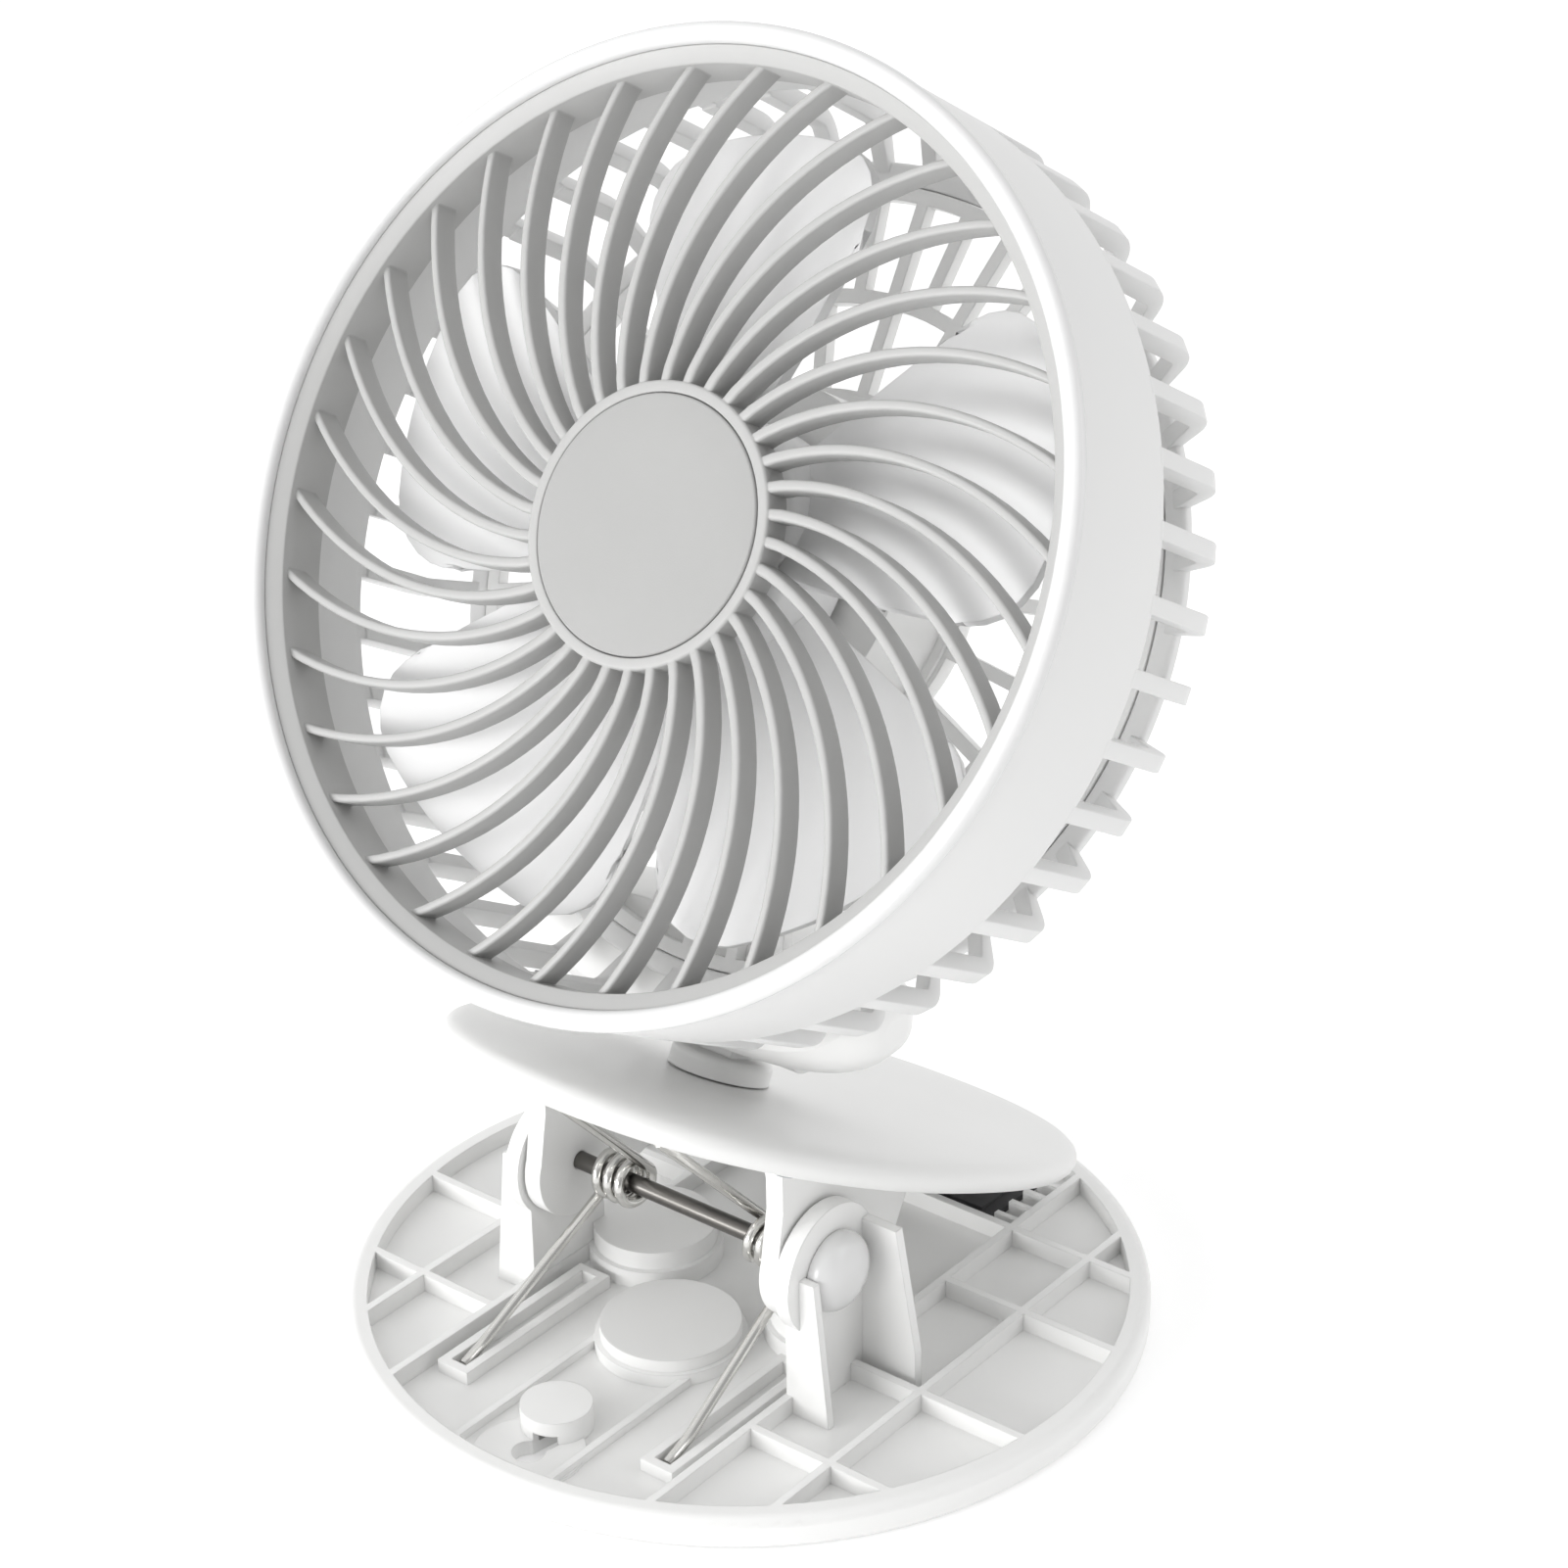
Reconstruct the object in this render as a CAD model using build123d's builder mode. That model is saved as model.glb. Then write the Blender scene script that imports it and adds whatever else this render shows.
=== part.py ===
from build123d import *
import math
import os

os.makedirs("parts", exist_ok=True)

# Clip fan. Millimetres, +Z up, the front of the fan toward -Y.
# The origin is under the middle of the round base, on the desk.

# ---------------------------------------------------------------- clearances
running_fit = 0.06        # radial play of a pin or shaft that turns in its bore
seat_fit = 0.15           # radial play of a fixed piece in its recess
moving_gap = 0.3          # air between two pieces that move past each other

# ---------------------------------------------------------------- round base
base_radius = 70.0
foot_drop = 0.4           # how far the rubber feet stand out below the base
floor_thickness = 2.2
rim_height = 5.6          # base underside to rim top
rim_width = 3.7
rim_round = 1.7
rib_thickness = 1.5
rib_outer_x = 45.0
rib_inner_x = 28.5
rib_rows = (38.9, 18.9, -10.4, -34.8)
low_rib_x = 10.0
low_rib_height = 1.5

foot_radius = 5.0
foot_thickness = 1.4
foot_circle = 58.0
foot_count = 4

front_boss_y = -21.0
front_boss_radius = 12.2
front_boss_height = 4.6
rear_boss_x = 20.0
rear_boss_y = -1.5
rear_boss_radius = 11.0
rear_boss_height = 6.9
boss_wall = 1.8
boss_step = 1.0

channel_x = 22.5
channel_front = -51.5
channel_back = -15.0
channel_width = 6.8
channel_height = 2.4
channel_slot_width = 3.2
channel_end_wall = 1.6

keyhole_x = 1.8
keyhole_y = -59.3
keyhole_radius = 2.8
keyhole_slot_width = 3.6
keyhole_slot_x = 3.4
keyhole_slot_y = -50.4
keyhole_rim_radius = 9.5
keyhole_rim_height = 0.5
cover_disc_x = 0.3
cover_disc_y = -50.6
cover_disc_radius = 6.1
cover_disc_height = 4.6
cover_disc_wall = 1.2
cover_window_height = 2.0   # the keyhole opens the cover's side this far up

pad_half_width = 22.0
pad_front = 40.2
pad_back = 58.0
pad_thickness = 1.2
pad_frame_height = 0.6
pad_frame_inset = 2.6
pad_frame_width = 1.6
pad_corner = 2.0
cell_rib_count = 4
cell_rib_height = 2.6
cell_rib_thickness = 1.2

# ---------------------------------------------------------------- clamp axle and posts
axle_y = -16.0
axle_z = 27.5
axle_radius = 1.6
ear_inner_x = 24.0
ear_thickness = 3.5
ear_end_radius = 10.3
ear_post_gap = 0.5
post_thickness = 3.0
post_head_radius = 11.5
post_front = -24.6
post_back = -6.0
front_flange_thickness = 1.5
front_flange_top = 29.5
front_flange_top_reach = 3.0
front_flange_foot_reach = 5.9
rear_flange_thickness = 1.8
rear_flange_top = 33.0
rear_flange_top_reach = 7.0
rear_flange_foot_reach = 11.0
cap_radius = 7.0
cap_height = 5.0
cap_rim = 1.4
cap_shoulder_height = 3.6
cap_shoulder_radius = 4.6
axle_into_cap = 2.6

# ---------------------------------------------------------------- torsion springs
wire_radius = 0.95
coil_radius = 3.5         # axis to the middle of the wire
coil_pitch = 2.5
coil_turns = 3            # full turns besides the part turn between the two arms
coil_outer_x = 20.7       # wire centre at the end beside the ear
coil_slide = 2.05         # both coils sit this far toward +X on the axle
tip_length = 5.2
tip_front = -48.8
bend_above_floor = 3.0
ease_length = 4.0
arm_end_along = -48.5     # where the upper arm ends, up the slope from the jaw's middle

# ---------------------------------------------------------------- upper jaw
jaw_slope = 25.91         # degrees, front end high
jaw_from_axle_y = 22.3
jaw_from_axle_z = 12.0
shell_half_width = 48.0
shell_half_length = 63.0
shell_thickness = 5.6
shell_round = 2.5
oval_power = 2.3
frame_inset = 4.0
frame_thickness = 2.2
ear_front = -24.0
ear_back = 9.0
ear_low_back = 6.0
ear_low_back_z = 22.6
ear_back_z = 28.0
gusset_count = 3
gusset_first = -29.0
gusset_reach = 3.6
gusset_drop = 5.0
gusset_spacing = 5.5
gusset_thickness = 1.2
upper_pad_half_width = 18.0
upper_pad_front = 36.0
upper_pad_back = 51.0
upper_pad_thickness = 2.0
upper_pad_recess = 0.7
spring_seat_gap = 0.3

screw_shank = 1.3
screw_head_radius = 2.4
screw_head_height = 1.4
jaw_screw_x = 30.0
jaw_screw_front = -36.0
jaw_screw_back = 26.0
jaw_screw_grip = 1.6

# ---------------------------------------------------------------- neck
swivel_from_centre = 16.0 # swivel axis, up the slope from the middle of the shell
collar_radius = 8.8
collar_height = 3.8
collar_round = 1.3
shaft_radius = 5.0
washer_radius = 8.0
washer_thickness = 1.2
swivel_screw_radius = 1.5
swivel_screw_head = 3.4
swivel_screw_head_height = 1.8
swivel_screw_depth = 6.0
pin_above_shell = 10.2
pin_radius = 1.5
eye_radius = 4.6
eye_half_width = 4.8
lug_radius = 5.0
lug_half_span = 16.0
slot_relief = 1.0         # extra room in front of the post when the head tips forward
slot_relief_top = 2.0
pin_end_wall = 1.2

housing_half_length = 36.0
housing_half_depth = 13.1
housing_half_height = 10.7
housing_power = 2.8
form_step = 14.0          # degrees between the sections of the housing's rounded form
housing_wall = 1.6
housing_back_of_pin = -2.1
housing_bottom_from_pin = -0.2
door_half_length = 22.0
door_half_height = 5.0
door_corner = 1.5
door_screw_x = 17.0
door_rib_width = 5.0
door_rib_depth = 2.6
door_rib_inset = 3.7      # from the outside of the housing to the ribs behind the door
door_rib_shorter = 3.3
cell_half_length = 22.0
cell_half_depth = 5.6
cell_half_height = 3.9
cell_corner = 2.3
cell_back_of_pin = -1.7
contact_thickness = 0.4
contact_half_width = 3.0

# ---------------------------------------------------------------- head
head_slope = 29.46        # degrees, face tipped up
drum_radius = 77.5
drum_wall = 3.0
neck_rise = 4.0           # tilt pin above the underside of the drum
neck_setback = 15.5       # tilt pin behind the rear grille
trim_overhang = 0.4
trim_front = 1.6          # how far the trim ring stands in front of the head plane
trim_depth = 0.2
trim_round = 0.85
rebate_step = 1.5         # the drum's wall steps out to hold the front grille's flange

grille_ring_width = 4.0
grille_ring_depth = 1.3
grille_flange = 2.0
grille_wall = 1.8
grille_depth = 10.6
rib_count = 34
rib_front = 2.6
rib_depth = 5.0
rib_width = 1.8
rib_round = 0.6
rib_bite = 0.8            # how far a rib's ends run into the hub and the ring
rib_hub_angle = 7.0
swirl_angle = 29.7
swirl_power = 1.08
grille_hub_radius = 22.6
hub_front = 2.4
hub_disc_radius = 20.5
hub_disc_thickness = 1.2
hub_disc_proud = 0.2
hub_base_thickness = 1.8

fin_count = 44
fin_start = 24.5
fin_end = 43.5
fin_width = 2.9
fin_first_angle = 7.5
fin_reach = 3.4
fin_tip_round = 7.0
fin_bite = 1.0            # how far the fins run into the drum's wall
rear_ring_outer = 69.4
rear_ring_inner = 65.7
rear_depth = 49.5
rear_thickness = 2.5
middle_ring_radius = 48.0
middle_ring_width = 2.4
inner_ring_width = 2.2
bar_bite = 1.0            # how far the bars run into each ring
rear_bar_width = 2.2
rear_outer_bars = 44
rear_inner_bars = 22

seat_radius = 29.0
seat_front = 30.0
seat_wall = 1.8
seat_flange_reach = 1.6
seat_flange_thickness = 1.0
seam_width = 0.7
seam_inset = 0.8          # from the seat's outside to the middle of the seam
seam_first_angle = -4.0
seam_last_angle = 7.0

motor_radius = 12.5
motor_length = 13.0
motor_edge = 1.0
motor_shaft_radius = 1.0
motor_screw_circle = 8.0
motor_screw_radius = 1.0
motor_screw_head = 1.9
motor_screw_head_height = 1.0
motor_screw_depth = 3.0

impeller_hub_radius = 21.0
impeller_hub_front = 10.5
impeller_hub_back = 28.0
impeller_hub_round = 4.0
impeller_wall = 1.6
impeller_boss = 3.6
blade_count = 5
blade_first_angle = 98.0
blade_tip_radius = 65.0
blade_half_angle = 27.0
blade_root_half_angle = 31.0
blade_corner = 13.0
blade_thickness = 1.7
blade_mid_depth = 17.0
blade_root_slope = 30.0
blade_root_bite = 4.2      # how far a blade's root reaches inside the hub's outside
blade_tip_slope = 11.0
nut_radius = 3.0
nut_thickness = 1.8

cover_radius = 31.0
cover_thickness = 2.2
cover_round = 1.2
cover_screw_circle = 24.0
cover_screw_count = 3
cover_boss_radius = 2.6
board_radius = 19.5
board_thickness = 1.6
board_notch_inset = 3.0
board_notch_radius = 2.0
switch_side = 3.0
board_lift = 2.4          # board in front of the rear cover's inner face
button_radius = 5.0
button_proud = 1.4
button_round = 1.0
button_flange = 0.8
button_flange_width = 1.2
button_above = 9.0
button_travel = 0.7
socket_half_width = 4.6
socket_half_height = 1.7
socket_corner = 1.5
socket_wall = 0.5
socket_length = 6.5
socket_below = 12.0
lens_radius = 1.6
lens_side = 9.0
lens_proud = 0.2

# ---------------------------------------------------------------- derived places
base_bottom = foot_drop
floor_top = base_bottom + floor_thickness
rim_top = base_bottom + rim_height
base_inner_radius = base_radius - rim_width
ear_outer_x = ear_inner_x + ear_thickness
post_inner_x = ear_outer_x + ear_post_gap
post_outer_x = post_inner_x + post_thickness
cap_outer_x = post_outer_x + cap_height

jaw_angle = math.radians(jaw_slope)
jaw_normal = Vector(0, math.sin(jaw_angle), math.cos(jaw_angle))
jaw_centre = Vector(0, axle_y + jaw_from_axle_y, axle_z + jaw_from_axle_z)
jaw = Plane(origin=jaw_centre, x_dir=(1, 0, 0), z_dir=jaw_normal)
shell_top = shell_thickness / 2
shell_bottom = -shell_thickness / 2
frame_top = shell_bottom + frame_thickness

swivel = Plane(
    origin=jaw.from_local_coords((0, -swivel_from_centre, 0)), x_dir=(1, 0, 0), z_dir=jaw_normal
)
swivel_axis = Axis(swivel.origin, swivel.z_dir)
pin_height = shell_top + pin_above_shell
pin_centre = swivel.from_local_coords((0, 0, pin_height))

head_angle = math.radians(head_slope)
head_normal = Vector(0, -math.cos(head_angle), math.sin(head_angle))
head_up = Vector(0, math.sin(head_angle), math.cos(head_angle))
pin_below_axis = drum_radius - neck_rise
pin_depth = rear_depth + neck_setback
head_centre = pin_centre + head_up * pin_below_axis + head_normal * pin_depth
head = Plane(origin=head_centre, x_dir=(1, 0, 0), z_dir=head_normal)
head_section = Plane(origin=head_centre, x_dir=(1, 0, 0), z_dir=head_up * -1)
head_axis = Axis(head_centre, head_normal)

housing_centre = Vector(
    0,
    pin_centre.Y + housing_back_of_pin,
    pin_centre.Z + housing_bottom_from_pin + housing_half_height,
)
drum_inner = drum_radius - drum_wall
rebate_radius = drum_inner + rebate_step
cover_back = rear_depth + cover_thickness


def polar(radius, degrees):
    turn = math.radians(degrees)
    return (radius * math.cos(turn), radius * math.sin(turn))


def oval_points(half_width, half_length, power, count):
    points = []
    for step in range(count):
        turn = 2 * math.pi * step / count
        across = abs(math.cos(turn) / half_width) ** power
        along = abs(math.sin(turn) / half_length) ** power
        reach = (across + along) ** (-1 / power)
        points.append((reach * math.cos(turn), reach * math.sin(turn)))
    return points


def oval_face(half_width, half_length):
    with BuildLine() as outline:
        Spline(*oval_points(half_width, half_length, oval_power, 32), periodic=True)
    make_face(outline.edges())


def finish(piece, name):
    piece.part.label = name
    export_step(piece.part, "parts/" + name + ".step")
    print(name, "solids", len(piece.part.solids()), "volume", round(piece.part.volume, 1))


# ================================================================ base plate
# A round ribbed tray, also the lower jaw: rim, grid of ribs, three raised round bosses that
# hold weights, two channels for the spring tips, keyhole, pad pocket and the two axle posts.

def base_grid():
    with BuildSketch(Plane.XY.offset(floor_top)) as profile:
        for side in (-1, 1):
            with Locations((side * rib_outer_x, 0), (side * rib_inner_x, 0)):
                Rectangle(rib_thickness, 2 * base_radius)
            for row in rib_rows:
                reach = base_radius - rib_inner_x
                with Locations((side * (rib_inner_x + reach / 2), row)):
                    Rectangle(reach, rib_thickness)
        with Locations((0, rib_rows[0])):
            Rectangle(2 * rib_inner_x, rib_thickness)
        Circle(base_inner_radius + rim_width / 2, mode=Mode.INTERSECT)
    extrude(profile.sketch, amount=rim_top - floor_top)


def base_low_ribs():
    rib_back = front_boss_y - front_boss_radius / 2
    with BuildSketch(Plane.XY.offset(floor_top)) as profile:
        for side in (-1, 1):
            with Locations((side * low_rib_x, (rib_back - base_radius) / 2)):
                Rectangle(rib_thickness, base_radius + rib_back)
        Circle(base_inner_radius + rim_width / 2, mode=Mode.INTERSECT)
    extrude(profile.sketch, amount=low_rib_height)


def round_boss(x, y, radius, height):
    with BuildSketch(Plane.XY.offset(floor_top)) as profile:
        with Locations((x, y)):
            Circle(radius + boss_step)
    extrude(profile.sketch, amount=height / 2)
    with BuildSketch(Plane.XY.offset(floor_top)) as profile:
        with Locations((x, y)):
            Circle(radius)
    extrude(profile.sketch, amount=height)


def boss_pocket(x, y, radius, height):
    with BuildSketch(Plane.XY.offset(base_bottom)) as profile:
        with Locations((x, y)):
            Circle(radius - boss_wall)
    extrude(profile.sketch, amount=floor_thickness + height - boss_wall, mode=Mode.SUBTRACT)


def axle_post(side):
    inner = side * post_inner_x
    section = Plane(origin=(inner, 0, 0), x_dir=(0, side, 0), z_dir=(side, 0, 0))
    with BuildSketch(section) as profile:
        with Locations((side * axle_y, axle_z)):
            Circle(post_head_radius)
        with Locations((side * (post_front + post_back) / 2, (axle_z + base_bottom) / 2)):
            Rectangle(post_back - post_front, axle_z - base_bottom)
    extrude(profile.sketch, amount=post_thickness)
    foot = floor_top - floor_thickness / 2
    root = post_outer_x - post_thickness / 2
    front = Plane(origin=(0, post_front, 0), x_dir=(1, 0, 0), z_dir=(0, -1, 0))
    with BuildSketch(front) as profile:
        with BuildLine():
            Polyline(
                (side * root, foot),
                (side * (post_outer_x + front_flange_foot_reach), foot),
                (side * (post_outer_x + front_flange_top_reach), front_flange_top),
                (side * root, front_flange_top),
                close=True,
            )
        make_face()
    extrude(profile.sketch, amount=-front_flange_thickness)
    back = Plane(origin=(0, post_back, 0), x_dir=(1, 0, 0), z_dir=(0, -1, 0))
    with BuildSketch(back) as profile:
        with BuildLine():
            Polyline(
                (side * root, foot),
                (side * (post_outer_x + rear_flange_foot_reach), foot),
                (side * (post_outer_x + rear_flange_foot_reach), rim_top + front_boss_height),
                (side * (post_outer_x + rear_flange_top_reach), rear_flange_top),
                (side * root, rear_flange_top),
                close=True,
            )
        make_face()
    extrude(profile.sketch, amount=rear_flange_thickness)


def spring_channel(side):
    length = channel_back - channel_front
    middle = (channel_back + channel_front) / 2
    with BuildSketch(Plane.XY.offset(floor_top)) as profile:
        with Locations((side * channel_x, middle)):
            Rectangle(channel_width, length)
    extrude(profile.sketch, amount=channel_height)
    with BuildSketch(Plane.XY.offset(floor_top)) as profile:
        with Locations((side * channel_x, middle)):
            Rectangle(channel_slot_width, length - 2 * channel_end_wall)
    extrude(profile.sketch, amount=channel_height, mode=Mode.SUBTRACT)


def pocket_cells(side):
    spacing = (pad_back - pad_front) / cell_rib_count
    inner = pad_half_width + seat_fit + cell_rib_thickness / 2
    for step in range(cell_rib_count):
        with BuildSketch(Plane.XY.offset(floor_top)) as profile:
            with Locations((side * (inner + rib_inner_x) / 2, pad_front + spacing * (step + 0.5))):
                Rectangle(rib_inner_x - inner, cell_rib_thickness)
        extrude(profile.sketch, amount=cell_rib_height)


with BuildPart() as base_plate:
    with BuildSketch(Plane.XY.offset(base_bottom)):
        Circle(base_radius)
    extrude(amount=rim_height)
    with BuildSketch(Plane.XY.offset(floor_top)):
        Circle(base_inner_radius)
    extrude(amount=rim_height, mode=Mode.SUBTRACT)
    rim_edges = base_plate.edges().filter_by(GeomType.CIRCLE).group_by(Axis.Z)[-1]
    fillet(rim_edges.sort_by(SortBy.RADIUS)[-1], radius=rim_round)
    fillet(base_plate.edges().filter_by(GeomType.CIRCLE).group_by(Axis.Z)[0], radius=rim_round / 2)
    base_grid()
    base_low_ribs()
    for side in (-1, 1):
        spring_channel(side)
        axle_post(side)
        pocket_cells(side)
        round_boss(side * rear_boss_x, rear_boss_y, rear_boss_radius, rear_boss_height)
    round_boss(0, front_boss_y, front_boss_radius, front_boss_height)
    for side in (-1, 1):
        boss_pocket(side * rear_boss_x, rear_boss_y, rear_boss_radius, rear_boss_height)
    boss_pocket(0, front_boss_y, front_boss_radius, front_boss_height)
    with BuildSketch(Plane.XY.offset(floor_top)):
        with Locations((keyhole_x, keyhole_y)):
            Circle(keyhole_rim_radius)
        Circle(base_inner_radius + rim_width / 2, mode=Mode.INTERSECT)
    extrude(amount=keyhole_rim_height)
    with BuildSketch(Plane.XY.offset(floor_top)):
        with Locations((cover_disc_x, cover_disc_y)):
            Circle(cover_disc_radius)
    extrude(amount=cover_disc_height)
    with BuildSketch(Plane.XY.offset(floor_top)):
        with Locations((cover_disc_x, cover_disc_y)):
            Circle(cover_disc_radius - cover_disc_wall)
    extrude(amount=cover_disc_height - cover_disc_wall, mode=Mode.SUBTRACT)
    with BuildSketch(Plane.XY.offset(base_bottom)):
        with Locations((keyhole_x, keyhole_y)):
            Circle(keyhole_radius)
        with BuildLine():
            Line((keyhole_x, keyhole_y), (keyhole_slot_x, keyhole_slot_y))
        trace(line_width=keyhole_slot_width)
    extrude(amount=floor_thickness + cover_window_height, mode=Mode.SUBTRACT)
    with BuildSketch(Plane.XY.offset(base_bottom)):
        with PolarLocations(foot_circle, foot_count, start_angle=180 / foot_count):
            Circle(foot_radius + seat_fit)
    extrude(amount=foot_thickness - foot_drop, mode=Mode.SUBTRACT)
    with BuildSketch(Plane.YZ.offset(-cap_outer_x)):
        with Locations((axle_y, axle_z)):
            Circle(axle_radius + running_fit)
    extrude(amount=2 * cap_outer_x, mode=Mode.SUBTRACT)
finish(base_plate, "base_plate")

with BuildPart() as base_feet:
    with BuildSketch(Plane.XY):
        with PolarLocations(foot_circle, foot_count, start_angle=180 / foot_count):
            Circle(foot_radius)
    extrude(amount=foot_thickness)
finish(base_feet, "base_feet")


def ballast_disc(x, y, radius, height):
    with BuildSketch(Plane.XY.offset(base_bottom)) as profile:
        with Locations((x, y)):
            Circle(radius - boss_wall - seat_fit)
    extrude(profile.sketch, amount=floor_thickness + height - boss_wall)


with BuildPart() as ballast_weights:
    for side in (-1, 1):
        ballast_disc(side * rear_boss_x, rear_boss_y, rear_boss_radius, rear_boss_height)
    ballast_disc(0, front_boss_y, front_boss_radius, front_boss_height)
finish(ballast_weights, "ballast_weights")

with BuildPart() as lower_jaw_pad:
    pad_middle = (pad_front + pad_back) / 2
    pad_length = pad_back - pad_front
    with BuildSketch(Plane.XY.offset(floor_top)):
        with Locations((0, pad_middle)):
            RectangleRounded(2 * pad_half_width, pad_length, pad_corner)
    extrude(amount=pad_thickness)
    with BuildSketch(Plane.XY.offset(floor_top + pad_thickness)):
        frame_width = 2 * (pad_half_width - pad_frame_inset)
        frame_length = pad_length - 2 * pad_frame_inset
        with Locations((0, pad_middle)):
            Rectangle(frame_width, frame_length)
            Rectangle(
                frame_width - 2 * pad_frame_width,
                frame_length - 2 * pad_frame_width,
                mode=Mode.SUBTRACT,
            )
    extrude(amount=pad_frame_height)
finish(lower_jaw_pad, "lower_jaw_pad")

# ================================================================ axle and caps
axle_half_length = post_outer_x + axle_into_cap
with BuildPart() as clamp_axle:
    with BuildSketch(Plane.YZ.offset(-axle_half_length)):
        with Locations((axle_y, axle_z)):
            Circle(axle_radius)
    extrude(amount=2 * axle_half_length)
    chamfer(clamp_axle.edges().filter_by(GeomType.CIRCLE), length=axle_radius / 4)
finish(clamp_axle, "clamp_axle")


def axle_cap(side):
    profile = Plane(
        origin=(side * post_outer_x, axle_y, axle_z), x_dir=(side, 0, 0), z_dir=(0, -side, 0)
    )
    with BuildSketch(profile) as profile:
        with BuildLine():
            apex = (cap_height, 0)
            rim = (cap_rim, cap_radius)
            shoulder = (cap_shoulder_height, cap_shoulder_radius)
            Line((0, 0), apex)
            ThreePointArc(apex, shoulder, rim)
            Line(rim, (0, cap_radius))
            Line((0, cap_radius), (0, 0))
        make_face()
    revolve(profile.sketch, axis=Axis((0, axle_y, axle_z), (1, 0, 0)))
    with BuildSketch(Plane(origin=(side * post_outer_x, axle_y, axle_z), z_dir=(side, 0, 0))) as profile:
        Circle(axle_radius + running_fit)
    extrude(profile.sketch, amount=axle_into_cap + running_fit, mode=Mode.SUBTRACT)


with BuildPart() as axle_caps:
    axle_cap(1)
    axle_cap(-1)
finish(axle_caps, "axle_caps")

# ================================================================ torsion springs
# Each spring is one steel wire: tip in the base channel, straight front arm, the coil round
# the axle, and a straight upper arm that pushes the front of the upper jaw up.
bend_z = floor_top + bend_above_floor
tip_z = floor_top + spring_seat_gap + wire_radius
bend_y = tip_front + tip_length
underside = shell_bottom - spring_seat_gap - wire_radius
arm_end = jaw.from_local_coords((0, arm_end_along, underside))


def coil_point(outer_x, inward, start, turn):
    angle = math.radians(turn)
    x = outer_x + inward * coil_pitch * (turn - start) / 360
    return Vector(
        x, axle_y + coil_radius * math.cos(angle), axle_z + coil_radius * math.sin(angle)
    )


def coil_direction(inward, turn):
    angle = math.radians(turn)
    rise = inward * coil_pitch / (2 * math.pi)
    along = Vector(rise, -coil_radius * math.sin(angle), coil_radius * math.cos(angle))
    return along.normalized()


def two_arcs(start, start_way, end, end_way):
    # two arcs that meet smoothly and leave and arrive along the given directions
    chord = end - start
    ways = start_way + end_way
    turn = 2 * (1 - start_way.dot(end_way))
    reach = chord.dot(ways)
    length = (math.sqrt(reach * reach + turn * chord.dot(chord)) - reach) / turn
    middle = (start + end + (start_way - end_way) * length) * 0.5
    TangentArc(start, middle, tangent=start_way)
    TangentArc(end, middle, tangent=end_way * -1)


def spring_route(side):
    inward = -side
    outer_x = side * coil_outer_x + coil_slide
    bend_rel = Vector(0, bend_y - axle_y, bend_z - axle_z)
    start = math.degrees(math.atan2(bend_rel.Z, bend_rel.Y))
    start += math.degrees(math.acos(coil_radius / bend_rel.length))
    end_rel = Vector(0, arm_end.Y - axle_y, arm_end.Z - axle_z)
    finish_turn = math.degrees(math.atan2(end_rel.Z, end_rel.Y))
    finish_turn += 360 * coil_turns - math.degrees(math.acos(coil_radius / end_rel.length))
    first = coil_point(outer_x, inward, start, start)
    last = coil_point(outer_x, inward, start, finish_turn)
    tip = Vector(side * channel_x, tip_front, tip_z)
    bend = Vector(side * channel_x, bend_y, bend_z)
    top = Vector(last.X, arm_end.Y, arm_end.Z)
    tip_way = (bend - tip).normalized()
    arm_way = (first - bend).normalized()
    top_way = (top - last).normalized()
    bend_in = bend - tip_way * 2 * wire_radius
    bend_out = bend + arm_way * 2 * wire_radius
    arm_out = first - arm_way * ease_length
    top_in = last + top_way * ease_length
    Line(tip, bend_in)
    two_arcs(bend_in, tip_way, bend_out, arm_way)
    Line(bend_out, arm_out)
    two_arcs(arm_out, arm_way, first, coil_direction(inward, start))
    steps = math.ceil((finish_turn - start) / 180)
    for step in range(steps):
        here = start + (finish_turn - start) * step / steps
        there = start + (finish_turn - start) * (step + 1) / steps
        two_arcs(
            coil_point(outer_x, inward, start, here),
            coil_direction(inward, here),
            coil_point(outer_x, inward, start, there),
            coil_direction(inward, there),
        )
    two_arcs(last, coil_direction(inward, finish_turn), top_in, top_way)
    Line(top_in, top)


def wire_report(name, route, piece):
    # least gap of the wire to itself, measured on points, and its volume against the length
    length = route.length
    count = 1200
    points = [route @ (step / count) for step in range(count + 1)]
    skip = int(count * 2.2 * math.pi * coil_radius * 0.5 / length)
    least = length
    for here in range(0, count + 1, 2):
        for there in range(here + skip, count + 1, 2):
            least = min(least, (points[here] - points[there]).length)
    section = math.pi * wire_radius ** 2
    print(name, "least gap", round(least - 2 * wire_radius, 3))
    print(name, "volume over section times length", round(piece.volume / section / length, 4))


with BuildPart() as spring_left:
    with BuildLine() as left_route:
        spring_route(-1)
    left_wire = left_route.wire()
    with BuildSketch(Plane(origin=left_wire @ 0, z_dir=left_wire % 0)):
        Circle(wire_radius)
    sweep(path=left_wire)
wire_report("spring_left", left_wire, spring_left.part)
finish(spring_left, "spring_left")

with BuildPart() as spring_right:
    with BuildLine() as right_route:
        spring_route(1)
    right_wire = right_route.wire()
    with BuildSketch(Plane(origin=right_wire @ 0, z_dir=right_wire % 0)):
        Circle(wire_radius)
    sweep(path=right_wire)
wire_report("spring_right", right_wire, spring_right.part)
finish(spring_right, "spring_right")

# ================================================================ upper jaw
# A smooth oval shell with rounded edges. The frame fills its underside and carries two ears
# that hang between the base posts on the axle.
jaw_screw_places = [
    (side * jaw_screw_x, along)
    for side in (-1, 1)
    for along in (jaw_screw_front, jaw_screw_back)
]

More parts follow.
